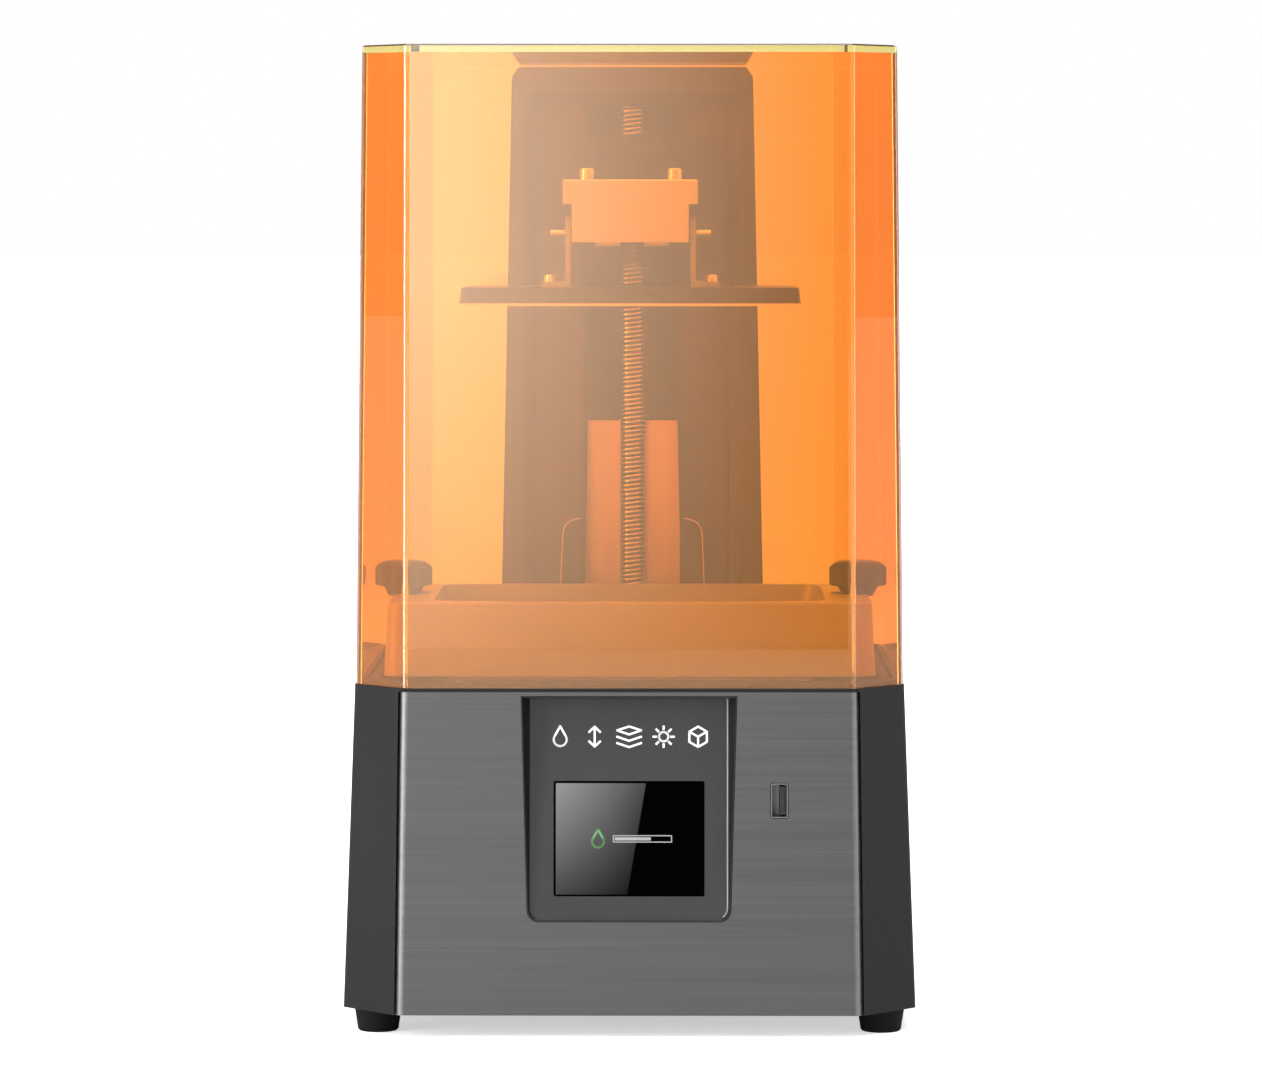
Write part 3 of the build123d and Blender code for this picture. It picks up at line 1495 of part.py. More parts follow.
flange_top = plate_top + bracket_sheet
with BuildPart() as flange_screws:
    with BuildSketch(vat_plane(flange_top)):
        with GridLocations(2 * flange_screw_x, 18, 2, 2):
            Circle(2.75)
    extrude(amount=2.8)
    chamfer(flange_screws.edges().group_by(Axis.Z)[-1], 0.4)
    with BuildSketch(vat_plane(flange_top)):
        with GridLocations(2 * flange_screw_x, 18, 2, 2):
            Circle(1.5)
    extrude(amount=-bracket_sheet - 4)
    with BuildSketch(vat_plane(flange_top + 2.8)):
        with GridLocations(2 * flange_screw_x, 18, 2, 2):
            RegularPolygon(1.3, 6)
    extrude(amount=-1.6, mode=Mode.SUBTRACT)
flange_screws.part.label = "flange_screws"
export_step(flange_screws.part, "parts/flange_screws.step")
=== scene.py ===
import json
import math

import bmesh
import bpy
from mathutils import Matrix, Vector
from mathutils.bvhtree import BVHTree


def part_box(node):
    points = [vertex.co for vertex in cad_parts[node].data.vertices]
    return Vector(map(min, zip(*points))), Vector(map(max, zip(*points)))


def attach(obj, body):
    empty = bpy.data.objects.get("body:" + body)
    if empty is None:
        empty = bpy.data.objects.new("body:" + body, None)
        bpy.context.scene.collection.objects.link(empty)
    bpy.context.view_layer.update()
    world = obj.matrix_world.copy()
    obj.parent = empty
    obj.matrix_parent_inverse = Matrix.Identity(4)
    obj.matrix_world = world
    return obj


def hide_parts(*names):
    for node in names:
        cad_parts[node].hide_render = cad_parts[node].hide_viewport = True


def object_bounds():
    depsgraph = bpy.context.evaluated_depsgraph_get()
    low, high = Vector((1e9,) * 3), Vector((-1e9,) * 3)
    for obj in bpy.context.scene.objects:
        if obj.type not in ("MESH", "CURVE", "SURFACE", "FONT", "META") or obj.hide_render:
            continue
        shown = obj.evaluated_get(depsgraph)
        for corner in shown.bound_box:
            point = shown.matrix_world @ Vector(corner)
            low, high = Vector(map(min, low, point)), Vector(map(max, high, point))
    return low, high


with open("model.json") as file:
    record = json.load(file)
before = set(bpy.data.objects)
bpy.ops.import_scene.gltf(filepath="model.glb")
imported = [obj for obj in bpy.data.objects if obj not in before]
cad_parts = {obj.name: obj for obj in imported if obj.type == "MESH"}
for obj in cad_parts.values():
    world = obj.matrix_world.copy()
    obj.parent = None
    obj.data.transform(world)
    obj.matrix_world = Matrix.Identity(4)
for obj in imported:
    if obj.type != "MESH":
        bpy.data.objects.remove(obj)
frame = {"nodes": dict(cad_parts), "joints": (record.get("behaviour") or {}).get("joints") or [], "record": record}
cad_low, cad_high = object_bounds()
nodes = frame["nodes"]
joints = {joint["name"]: joint for joint in frame["joints"]}
scene = bpy.context.scene
MM = 0.001
WHITE = (1.0, 1.0, 1.0, 1.0)


# ------------------------------------------------------------------ short calls
def new_object(name, data):
    """An object for some data, linked to the scene."""
    made = bpy.data.objects.new(name, data)
    scene.collection.objects.link(made)
    return made


def add_node(tree, kind, inputs=None, **settings):
    """A node in a tree; each of its inputs is a value, or a socket to link from."""
    node = tree.nodes.new(kind)
    for key, value in settings.items():
        setattr(node, key, value)
    for key, value in (inputs or {}).items():
        if isinstance(value, bpy.types.NodeSocket):
            tree.links.new(value, node.inputs[key])
        else:
            node.inputs[key].default_value = value
    return node


class Nodes:
    """Short calls for building the node tree of a material or a world."""

    def __init__(self, owner):
        owner.use_nodes = True
        self.owner = owner
        self.tree = owner.node_tree
        self.tree.nodes.clear()

    def add(self, kind, inputs=None, **settings):
        return add_node(self.tree, kind, inputs, **settings)

    def math(self, operation, *values):
        return self.add("ShaderNodeMath", dict(enumerate(values)), operation=operation).outputs[0]

    def coordinates(self, kind):
        return self.add("ShaderNodeTexCoord").outputs[kind]

    def split(self, vector):
        return self.add("ShaderNodeSeparateXYZ", {"Vector": vector}).outputs

    def place(self, scale=(1.0, 1.0, 1.0)):
        """The object's own coordinates, in metres, stretched by scale."""
        inputs = {"Vector": self.coordinates("Object"), "Scale": scale}
        return self.add("ShaderNodeMapping", inputs).outputs["Vector"]

    def noise(self, vector, scale, detail=3.0, roughness=0.5):
        inputs = {"Vector": vector, "Scale": scale, "Detail": detail, "Roughness": roughness}
        return self.add("ShaderNodeTexNoise", inputs).outputs["Fac"]

    def remap(self, value, low, high, from_low=0.3, from_high=0.7, **settings):
        """A value that runs from low to high while another runs between two limits; it stops at both ends."""
        inputs = {"Value": value, "From Min": from_low, "From Max": from_high, "To Min": low, "To Max": high}
        return self.add("ShaderNodeMapRange", inputs, **settings).outputs["Result"]

    def step(self, value, at, blur):
        """0 below a limit and 1 above it, with a short blur between."""
        return self.remap(value, 0.0, 1.0, at - blur, at + blur)

    def mix(self, value, first, second):
        """A colour that runs from first to second; each is a colour or a socket."""
        ends = [end if isinstance(end, bpy.types.NodeSocket) else (*end, 1.0) for end in (first, second)]
        inputs = {"Factor": value, "A": ends[0], "B": ends[1]}
        return self.add("ShaderNodeMix", inputs, data_type="RGBA").outputs["Result"]

    def varied(self, value, colour, spread):
        """A colour that goes from a little darker to a little lighter."""
        return self.mix(value, shade(colour, 1 - spread), shade(colour, 1 + spread))

    def sideways(self, low, high):
        """0 on faces turned to the front, back, top or bottom, and 1 on faces turned to either side."""
        across = self.split(self.coordinates("Normal"))["X"]
        return self.remap(self.math("ABSOLUTE", across), 0.0, 1.0, low, high)

    def bump(self, height, distance):
        inputs = {"Height": height, "Distance": distance, "Strength": 1.0}
        return self.add("ShaderNodeBump", inputs).outputs["Normal"]

    def principled(self, inputs):
        return self.add("ShaderNodeBsdfPrincipled", inputs).outputs["BSDF"]

    def finished(self, shader, kind="ShaderNodeOutputMaterial"):
        """The material or world, with this shader as its surface."""
        self.add(kind, {"Surface": shader})
        return self.owner


def material_nodes(name):
    return Nodes(bpy.data.materials.new(name))


def shade(colour, factor):
    """A colour made lighter or darker, kept within range."""
    return tuple(min(1.0, channel * factor) for channel in colour)


# ------------------------------------------------------------------ camera
CAMERA_LENS = 144.3
CAMERA_SENSOR = 36.0
CAMERA_PLACE = Vector((0.018, -2.179, 0.333))
CAMERA_PITCH = math.radians(-3.60)
CAMERA_YAW = math.radians(0.476)

camera_data = bpy.data.cameras.new("camera")
camera_data.lens = CAMERA_LENS
camera_data.sensor_width = CAMERA_SENSOR
camera = new_object("camera", camera_data)
camera.location = CAMERA_PLACE
camera.rotation_euler = (math.pi / 2 + CAMERA_PITCH, 0.0, CAMERA_YAW)
scene.camera = camera
scene.view_settings.view_transform = "Standard"


# ------------------------------------------------------------------ studio
MIDDLE = (cad_low + cad_high) / 2
SOFT_LIGHTS = (
    # name, place, width and height in metres, power in watts
    ("left_softbox", (-1.45, -1.0, 0.5), (1.1, 1.5), 7.5),
    ("left_rear_softbox", (-1.5, 0.75, 0.45), (0.8, 1.4), 4.0),
    ("left_strip", (-1.5, -0.87, 0.45), (0.25, 1.3), 25.0),
    ("right_rear_softbox", (1.6, 0.75, 0.45), (0.6, 1.4), 8.0),
    ("right_softbox", (1.7, -0.7, 0.5), (0.4, 1.3), 7.0),
    ("top_softbox", (0.0, -0.2, 1.9), (1.6, 1.4), 9.0),
    ("back_softbox", (0.6, 2.0, 1.1), (1.6, 1.2), 9.0),
)
CARD_PLACE = (-0.22, -2.6, 0.36)
CARD_WIDTH = 1.3
CARD_HEIGHT = 1.1
CARD_STRENGTH = 6.0
CARD_FADE = (-0.12, 0.47)
CARD_DIM = (-0.5, -0.02)
CARD_FOOT_LEVEL = 0.2
SUN_STRENGTH = 2.6
SUN_WIDTH = math.radians(70)
SUN_TURN = (math.radians(8), 0.0, math.radians(-20))
SKY_UNSEEN_LEVEL = 0.40


def soft_light(name, place, size, power):
    """A soft rectangular light aimed at the object's middle."""
    data = bpy.data.lights.new(name, "AREA")
    data.shape = "RECTANGLE"
    data.size, data.size_y = size
    data.energy = power
    aim = (MIDDLE - Vector(place)).to_track_quat("-Z", "Y").to_matrix().to_4x4()
    new_object(name, data).matrix_world = Matrix.Translation(place) @ aim


def glow_card(name):
    """A glowing card in front that fades out across its right part and dims towards its foot.

    It lights the object and shows in reflections, but isn't seen directly or straight through clear solids.
    """
    x, z = CARD_WIDTH / 2, CARD_HEIGHT / 2
    mesh = bpy.data.meshes.new(name)
    mesh.from_pydata([(-x, 0, -z), (x, 0, -z), (x, 0, z), (-x, 0, z)], [], [(3, 2, 1, 0)])
    card = new_object(name, mesh)
    card.location = CARD_PLACE
    m = material_nodes(name)
    place = m.split(m.coordinates("Object"))
    across = m.remap(place["X"], CARD_STRENGTH, 0.0, *CARD_FADE, interpolation_type="SMOOTHSTEP")
    upward = m.remap(place["Z"], CARD_FOOT_LEVEL, 1.0, *CARD_DIM)
    glow = m.add("ShaderNodeEmission", {"Strength": m.math("MULTIPLY", across, upward)}).outputs[0]
    rays = m.add("ShaderNodeLightPath").outputs
    straight = m.math("LESS_THAN", m.math("ADD", rays["Glossy Depth"], rays["Diffuse Depth"]), 0.5)
    through = m.math("MULTIPLY", rays["Is Transmission Ray"], straight)
    hidden = m.math("MAXIMUM", rays["Is Camera Ray"], through)
    clear = m.add("ShaderNodeBsdfTransparent").outputs[0]
    mesh.materials.append(m.finished(m.add("ShaderNodeMixShader", {0: hidden, 1: glow, 2: clear}).outputs[0]))


for soft_light_row in SOFT_LIGHTS:
    soft_light(*soft_light_row)
glow_card("front_card")

sun_data = bpy.data.lights.new("sky_sun", "SUN")
sun_data.energy = SUN_STRENGTH
sun_data.angle = SUN_WIDTH
new_object("sky_sun", sun_data).rotation_euler = SUN_TURN

# The sky is white where it is seen, directly or through clear solids, and dimmer as a light.
sky = Nodes(bpy.data.worlds.new("studio"))
sky_rays = sky.add("ShaderNodeLightPath").outputs
sky_seen = sky.math("MAXIMUM", sky_rays["Is Camera Ray"], sky_rays["Is Transmission Ray"])
sky_level = sky.remap(sky_seen, SKY_UNSEEN_LEVEL, 1.0, 0.0, 1.0)
sky_light = sky.add("ShaderNodeBackground", {"Color": WHITE, "Strength": sky_level}).outputs["Background"]
scene.world = sky.finished(sky_light, "ShaderNodeOutputWorld")


# ------------------------------------------------------------------ materials
BROAD_SCALE = 18.0
HEIGHT_BLUR = 0.1 * MM
WALL_TURN = (0.3, 0.5)
BRUSH_ACROSS = 1400.0
BRUSH_ALONG = 9.0
BRUSH_WIDER = 0.22
BRUSH_RANGE = (0.38, 0.62)
BEND_TURN = (0.05, 0.3)


def grained(name, colour, roughness, grain, depth, metallic=0.0, spread=0.08, specular=0.5,
            below=None, painted_shade_walls=None):
    """A plain surface with fine grain; below gives another colour under a height, and painted_shade_walls a darker
    colour painted on side faces as painted shade.
    """
    m = material_nodes(name)
    where = m.place()
    fine = m.noise(where, 1 / grain, 4.0, 0.6)
    broad = m.remap(m.noise(where, BROAD_SCALE, 2.0), 0.0, 1.0)
    tone = m.varied(broad, colour, spread)
    if below:
        low_colour, height = below
        above = m.step(m.split(where)["Z"], height, HEIGHT_BLUR)
        tone = m.mix(above, m.varied(broad, low_colour, spread), tone)
    # Painted shade: faces turned sideways get the darker colour.
    if painted_shade_walls:
        tone = m.mix(m.sideways(*WALL_TURN), tone, m.varied(broad, painted_shade_walls, spread))
    return m.finished(m.principled({
        "Base Color": tone,
        "Roughness": m.remap(fine, roughness - 0.05, roughness + 0.05),
        "Metallic": metallic,
        "Specular IOR Level": specular,
        "Normal": m.bump(fine, depth),
    }))


def brushed(name, colour, roughness, along, depth, metallic, spread, painted_bend_highlight=None):
    """Metal brushed one way, in long fine streaks; painted_bend_highlight is a lighter colour painted on its side
    bends, a painted highlight for the lamps' reflection there.
    """
    m = material_nodes(name)
    scale = [BRUSH_ACROSS] * 3
    scale["XYZ".index(along)] = BRUSH_ALONG
    fine = m.noise(m.place(tuple(scale)), 1.0, 4.0, 0.65)
    wide = m.noise(m.place(tuple(value * BRUSH_WIDER for value in scale)), 1.0, 3.0, 0.6)
    both = m.math("MULTIPLY", m.math("ADD", fine, wide), 0.5)
    streak = m.remap(both, 0.0, 1.0, *BRUSH_RANGE)
    tone = m.varied(streak, colour, spread)
    # Painted highlight: the faces turned sideways on the bends get the lighter colour.
    if painted_bend_highlight:
        tone = m.mix(m.sideways(*BEND_TURN), tone, m.varied(streak, painted_bend_highlight, spread))
    return m.finished(m.principled({
        "Base Color": tone,
        "Roughness": m.remap(both, roughness - 0.08, roughness + 0.08, *BRUSH_RANGE),
        "Metallic": metallic,
        "Normal": m.bump(both, depth),
    }))


AMBER = (1.0, 0.535, 0.135)
# Painted light on the cover: deeper amber on the corner faces is painted shade, yellow on the roof's rim is a
# painted glow, and the dark tint on sloped faces is a painted shade line.
SHADED_CORNER_AMBER = (1.0, 0.455, 0.080)
CORNER_TURN = (0.25, 0.45)
BEVEL_SHADE = (0.15, 0.14, 0.06)
LIT_EDGE_YELLOW = (0.80, 0.70, 0.24)
EDGE_BLUR = 0.2 * MM
AMBER_LAMP_TINT = (1.0, 0.66, 0.34)
ROOF_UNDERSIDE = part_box("cover_shell")[1].z - 3.3 * MM


def see_through(name, tint, transmission, roughness, ior, lamp_tint, coat=0.0, coat_roughness=0.1, edge=None):
    """A clear solid that lets lamps through.

    Edge is a pale tint painted on the upright faces above a height, a painted glow in the sheet's lit rim. It
    comes with a deeper amber painted on the faces turned to the corners as painted shade, and a dark tint painted
    on those that slope up as a painted shade line.
    """
    m = material_nodes(name)
    wave = m.noise(m.place(), 9.0, 2.0)
    colour = m.mix(m.remap(wave, 0.0, 1.0), shade(tint, 0.985), tint)
    if edge:
        edge_tint, edge_height = edge
        facing = m.split(m.coordinates("Normal"))
        skew = m.math("ABSOLUTE", m.math("MULTIPLY", facing["X"], facing["Y"]))
        corner = m.remap(skew, 0.0, 1.0, *CORNER_TURN)
        upright = m.math("COMPARE", facing["Z"], 0.0, 0.8)
        height = m.split(m.coordinates("Object"))["Z"]
        above = m.math("MULTIPLY", upright, m.step(height, edge_height, EDGE_BLUR))
        sloped = m.math("COMPARE", facing["Z"], 0.7, 0.25)
        for part, part_tint, least in ((corner, SHADED_CORNER_AMBER, 0.985), (above, edge_tint, 0.97),
                                       (sloped, BEVEL_SHADE, 0.97)):
            colour = m.mix(part, colour, m.mix(wave, part_tint, shade(part_tint, least)))
    glass = m.principled({
        "Base Color": colour,
        "Transmission Weight": transmission,
        "Roughness": roughness,
        "IOR": ior,
        "Coat Weight": coat,
        "Coat Roughness": coat_roughness,
    })
    clear = m.add("ShaderNodeBsdfTransparent", {"Color": (*lamp_tint, 1.0)}).outputs["BSDF"]
    lamps = m.add("ShaderNodeLightPath").outputs["Is Shadow Ray"]
    return m.finished(m.add("ShaderNodeMixShader", {0: lamps, 1: glass, 2: clear}).outputs["Shader"])


SCREW_AXIS = joints["screw_turn"]["pos_m"]
SCREW_CREST = (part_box("lead_screw")[1].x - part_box("lead_screw")[0].x) / 2
THREAD_DEPTH = 1.0 * MM
# Painted shade for the thread's roots.
THREAD_ROOT_SHADE = (0.035, 0.030, 0.026)
THREAD_BRIGHT = (0.72, 0.68, 0.62)


def thread_steel(name):
    """Turned steel that is bright on the thread's crests and dark down at its roots, a painted shade in the
    thread's grooves.
    """
    m = material_nodes(name)
    where = m.place()
    to_axis = (-SCREW_AXIS[0], -SCREW_AXIS[1], 0.0)
    aside = m.add("ShaderNodeVectorMath", {0: where, 1: to_axis}, operation="ADD").outputs["Vector"]
    level = (1.0, 1.0, 0.0)
    flat = m.add("ShaderNodeVectorMath", {0: aside, 1: level}, operation="MULTIPLY").outputs["Vector"]
    radius = m.add("ShaderNodeVectorMath", {0: flat}, operation="LENGTH").outputs["Value"]
    rise = m.remap(radius, 0.0, 1.0, SCREW_CREST - 0.8 * THREAD_DEPTH, SCREW_CREST - 0.1 * THREAD_DEPTH)
    fine = m.noise(where, 2500.0, 4.0, 0.6)
    return m.finished(m.principled({
        "Base Color": m.mix(rise, THREAD_ROOT_SHADE, THREAD_BRIGHT),
        "Roughness": m.remap(fine, 0.18, 0.28),
        "Metallic": 1.0,
        "Normal": m.bump(fine, 0.00001),
    }))


# The display's slanted pale sheen is a painted reflection of the lamps, set in its base colour.
SHEEN_SLANT = 8.0 * MM
SHEEN_FOOT = -0.9 * MM
SHEEN_BORDER = 0.8 * MM
SHEEN_BLUR = 0.05 * MM
SHEEN_REACH = 0.482
SCREEN_BLACK = (0.0004, 0.0004, 0.0006)


def painted_glare_screen(name, node):
    """A dark display with a painted reflection: a pale glare painted fading down its slanted left part, in place
    of the lamps' reflection.
    """
    low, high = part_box(node)
    m = material_nodes(name)
    place = m.split(m.coordinates("Object"))
    up = m.remap(place["Z"], 0.0, 1.0, low.z, high.z)
    left = m.math("SUBTRACT", m.math("MULTIPLY_ADD", up, SHEEN_SLANT, SHEEN_FOOT), place["X"])
    past_border = m.remap(place["X"], 0.0, 1.0, low.x + SHEEN_BORDER, low.x + SHEEN_BORDER + 2 * SHEEN_BLUR)
    framed = m.math("MULTIPLY", past_border, m.math("COMPARE", up, 0.5, SHEEN_REACH))
    inside = m.math("MULTIPLY", m.step(left, 0.0, SHEEN_BLUR), framed)
    across = m.remap(left, 0.0, 1.0, 0.0, SHEEN_SLANT - low.x)
    sweep = m.math("MULTIPLY", across, m.math("MULTIPLY_ADD", up, 0.115, 0.037))
    sheen = m.math("ADD", m.math("MULTIPLY_ADD", up, 0.032, 0.006), sweep)
    dust = m.noise(m.place(), 60.0, 2.0)
    return m.finished(m.principled({
        "Base Color": m.mix(m.math("MULTIPLY", sheen, inside), SCREEN_BLACK, WHITE[:3]),
        "Roughness": m.remap(dust, 0.10, 0.16),
        "Specular IOR Level": 0.002,
    }))


# Each grained finish gives its colour, roughness, grain size in metres and relief in metres.
# Each brushed finish gives its colour, roughness, direction, relief in metres, metallic share and spread.
# The build plate is near-black above a light colour: on the underside it is the plate's own face, and carried 1.1
# mm up the sides it is a painted highlight along the lower edge.
PLATE_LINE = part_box("build_plate")[0].z + 1.1 * MM
PLATE_UNDERSIDE_AND_GLINT = (0.60, 0.52, 0.46)
finish = {
    "shell": grained("shell_coat", (0.0085, 0.0085, 0.0093), 0.58, 0.0007, 0.00004, specular=0.18),
    # The panel's rolled side bends carry a painted highlight.
    "panel": brushed("brushed_panel", (0.082, 0.082, 0.083), 0.42, "X", 0.00001, 0.75, 0.14,
                     painted_bend_highlight=(0.17, 0.17, 0.17)),
    "rubber": grained("rubber", (0.006, 0.006, 0.006), 0.75, 0.0011, 0.00006, specular=0.10),
    # The bezel's side walls are painted near-black, a painted shade of the gap around it.
    "bezel": grained("bezel_satin", (0.026, 0.026, 0.028), 0.45, 0.0005, 0.00003, specular=0.30,
                     painted_shade_walls=(0.002, 0.002, 0.002)),
    # A light colour for a painted highlight along the bezel's right edge.
    "bezel_glint": grained("painted_edge_glint", (0.28, 0.28, 0.285), 0.35, 0.0006, 0.00001, spread=0.04),
    "plastic": grained("black_plastic", (0.012, 0.012, 0.013), 0.42, 0.0006, 0.00004, specular=0.35),
    "knob": grained("knob_plastic", (0.010, 0.010, 0.011), 0.46, 0.0006, 0.00004, specular=0.24),
    "dull": grained("dull_black_plastic", (0.008, 0.008, 0.008), 0.60, 0.0006, 0.00004, specular=0.15),
    "rocker": grained("rocker_gloss", (0.02, 0.02, 0.022), 0.22, 0.0008, 0.00001),
    "steel": grained("turned_steel", (0.50, 0.48, 0.45), 0.22, 0.0004, 0.00001, metallic=1.0),
    "thread": thread_steel("thread_steel"),
    "port": grained("port_steel", (0.15, 0.15, 0.152), 0.34, 0.0004, 0.00001, metallic=0.9),
    "bright": brushed("bright_sheet", (0.60, 0.42, 0.34), 0.42, "Z", 0.00001, 0.8, 0.05),
    "bracket": brushed("bracket_sheet", (0.21, 0.188, 0.175), 0.34, "Z", 0.00001, 0.9, 0.05),
    "aluminium": grained("blasted_aluminium", (0.42, 0.385, 0.36), 0.46, 0.0004, 0.00002, metallic=0.75,
                         spread=0.04),
    "plate": grained("plate_aluminium", (0.016, 0.0155, 0.015), 0.42, 0.0004, 0.00002, metallic=0.7,
                     spread=0.05, below=(PLATE_UNDERSIDE_AND_GLINT, PLATE_LINE)),
    "anodised": grained("dark_anodised", (0.013, 0.013, 0.014), 0.45, 0.0004, 0.00002, metallic=0.3,
                        specular=0.2),
    "column": grained("column_coat", (0.026, 0.026, 0.028), 0.50, 0.0008, 0.00004, specular=0.20),
    "vat": grained("vat_satin", (0.20, 0.21, 0.155), 0.40, 0.0006, 0.00003, spread=0.04),
    "chrome": grained("ground_rod", (0.80, 0.80, 0.81), 0.12, 0.0003, 0.000005, metallic=1.0, spread=0.03),
    "brass": grained("turned_brass", (0.72, 0.50, 0.22), 0.28, 0.0004, 0.00001, metallic=1.0),
    "motor": grained("motor_enamel", (0.035, 0.036, 0.040), 0.35, 0.0009, 0.00003),
    "white": grained("white_plastic", (0.74, 0.74, 0.72), 0.48, 0.0008, 0.00003),
    "ink": grained("printed_white", (0.86, 0.86, 0.86), 0.50, 0.0008, 0.00001, spread=0.02),
    "glow_green": grained("display_green", (0.09, 0.25, 0.08), 0.40, 0.0008, 0.000001, spread=0.10),
    "glow_white": grained("display_white", (0.27, 0.28, 0.28), 0.40, 0.0008, 0.000001, spread=0.05),
    "green": grained("solder_mask", (0.020, 0.16, 0.075), 0.30, 0.0015, 0.00002, spread=0.25),
    "led_board": grained("white_mask", (0.80, 0.80, 0.76), 0.35, 0.0015, 0.00002),
    "lcd": grained("lcd_dark", (0.018, 0.020, 0.028), 0.16, 0.002, 0.000002),
    # The display's base colour carries a painted reflection.
    "screen": painted_glare_screen("painted_glare_screen", "touch_screen"),
    "glass": see_through("clear_glass", (0.93, 0.96, 0.97), 0.95, 0.02, 1.50, (0.95, 0.97, 0.98)),
    "lens": see_through("clear_lens", (0.96, 0.97, 0.98), 0.95, 0.03, 1.49, (0.97, 0.98, 0.98)),
    "film": see_through("clear_film", (0.95, 0.96, 0.95), 0.90, 0.10, 1.34, (0.96, 0.97, 0.96)),
    # The cover's corners, roof rim and sloped faces carry painted light and shade.
    "amber": see_through("amber_acrylic", AMBER, 0.945, 0.002, 1.49, AMBER_LAMP_TINT, coat=0.3,
                         coat_roughness=0.12, edge=(LIT_EDGE_YELLOW, ROOF_UNDERSIDE)),
}

node_finish = {
    "shell": ["housing", "bottom_plate", "deck_plate"],
    "panel": ["front_panel"],
    "rubber": ["feet", "vat_rails"],
    "bezel": ["display_bezel"],
    "plastic": [
        "display_module", "usb_tongue", "lcd_frame", "led_fan_frame", "led_fan_rotor", "exhaust_fan_frame",
        "exhaust_fan_rotor", "power_jack", "switch_frame", "guide_bushings",
    ],
    "knob": ["knob_left", "knob_right", "washer_left", "washer_right"],
    "dull": ["channel_skirt"],
    "rocker": ["power_rocker"],
    "steel": [
        "foot_screws", "exhaust_fan_screws", "film_frame", "film_screws", "motor_bracket",
        "mount_screws", "level_screws", "flange_screws",
    ],
    "port": ["usb_port"],
    "bright": ["screw_guard"],
    "bracket": ["plate_brackets"],
    "aluminium": ["heat_sink", "cantilever_arm", "platform_mount"],
    "plate": ["build_plate"],
    "anodised": ["z_frame", "rod_clamp_top", "rod_clamp_bottom", "carriage_block"],
    "column": ["column_cover", "column_back"],
    "vat": ["vat_body"],
    "chrome": ["guide_rods"],
    "brass": ["top_bearing", "lead_nut"],
    "motor": ["z_motor"],
    "white": ["light_housing"],
    "green": ["mainboard"],
    "led_board": ["uv_led_board"],
    "lcd": ["lcd_panel"],
    "screen": ["touch_screen"],
    "glass": ["lcd_glass"],
    "lens": ["collimating_lens"],
    "film": ["release_film"],
    "amber": ["cover_shell"],
}

for look, names in node_finish.items():
    for name in names:
        mesh = nodes[name].data
        mesh.materials.clear()
        mesh.materials.append(finish[look])


# ------------------------------------------------------------------ mesh helpers
def new_piece(name, mesh, body, look):
    """A piece that rides on a body, in one finish."""
    mesh.materials.append(finish[look])
    piece = new_object(name, mesh)
    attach(piece, body)
    return piece


def tube(name, body, look, verts, around, flip=False):
    """A closed smooth tube from rings of points; flip turns its faces over."""
    rings = len(verts) // around
    first = tuple(range(around))
    last = tuple(range((rings - 1) * around, rings * around))
    faces = []
    for ring in range(rings - 1):
        for i in range(around):
            a = ring * around + i
            b = ring * around + (i + 1) % around
            side = (b, b + around, a + around)
            faces.append((a, *reversed(side)) if flip else (a, *side))
    faces.append(first if flip else tuple(reversed(first)))
    faces.append(tuple(reversed(last)) if flip else last)
    mesh = bpy.data.meshes.new(name)
    mesh.from_pydata([tuple(v) for v in verts], [], faces)
    mesh.validate()
    mesh.shade_smooth()
    return new_piece(name, mesh, body, look)


# ------------------------------------------------------------------ lead screw
JOURNAL_RADIUS = 3.0 * MM
THREAD_PITCH = 2.0 * MM
THREAD_STARTS = 2
THREAD_LOW = 128.0 * MM
THREAD_HIGH = 387.5 * MM
THREAD_ROOT = SCREW_CREST - THREAD_DEPTH
FLANK_START = 0.28
FLANK_WIDTH = 0.44
ROWS_PER_PITCH = 8
TAPER_ROWS = 4
SCREW_AROUND = 40


def thread_radius(angle, z):
    """The trapezoidal thread's radius at an angle and a height."""
    phase = (z / THREAD_PITCH - THREAD_STARTS * angle / (2 * math.pi)) % 1.0
    rise = abs(phase - 0.5) * 2
    up_flank = min(1.0, max(0.0, (rise - FLANK_START) / FLANK_WIDTH))
    return THREAD_ROOT + (SCREW_CREST - THREAD_ROOT) * up_flank


def threaded_screw():
    """The lead screw as a closed two-start trapezoidal thread inside the CAD rod's envelope."""
    low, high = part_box("lead_screw")
    centre = Vector((SCREW_AXIS[0], SCREW_AXIS[1], 0.0))
    angles = [2 * math.pi * i / SCREW_AROUND for i in range(SCREW_AROUND)]
    verts = []

    def ring(z, radius_at):
        for angle in angles:
            radius = radius_at(angle)
            verts.append(centre + Vector((radius * math.cos(angle), radius * math.sin(angle), z)))

    def journal(angle):
        return JOURNAL_RADIUS

    ring(low.z, journal)
    ring(THREAD_LOW, journal)
    row_step = THREAD_PITCH / ROWS_PER_PITCH
    rows = round((THREAD_HIGH - THREAD_LOW) / row_step)
    for row in range(rows + 1):
        z = THREAD_LOW + row * row_step
        taper = min(1.0, row / TAPER_ROWS, (rows - row) / TAPER_ROWS)
        ring(z, lambda angle: THREAD_ROOT + (thread_radius(angle, z) - THREAD_ROOT) * taper)
    ring(THREAD_HIGH, journal)
    ring(high.z, journal)
    screw = tube("threaded_screw", "screw", "thread", verts, SCREW_AROUND)
    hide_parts("lead_screw")


threaded_screw()


# ------------------------------------------------------------------ printed and displayed marks
RAY_START = 0.05
MARK_SUNK = 0.04 * MM
JOIN_OVERLAP = 0.32


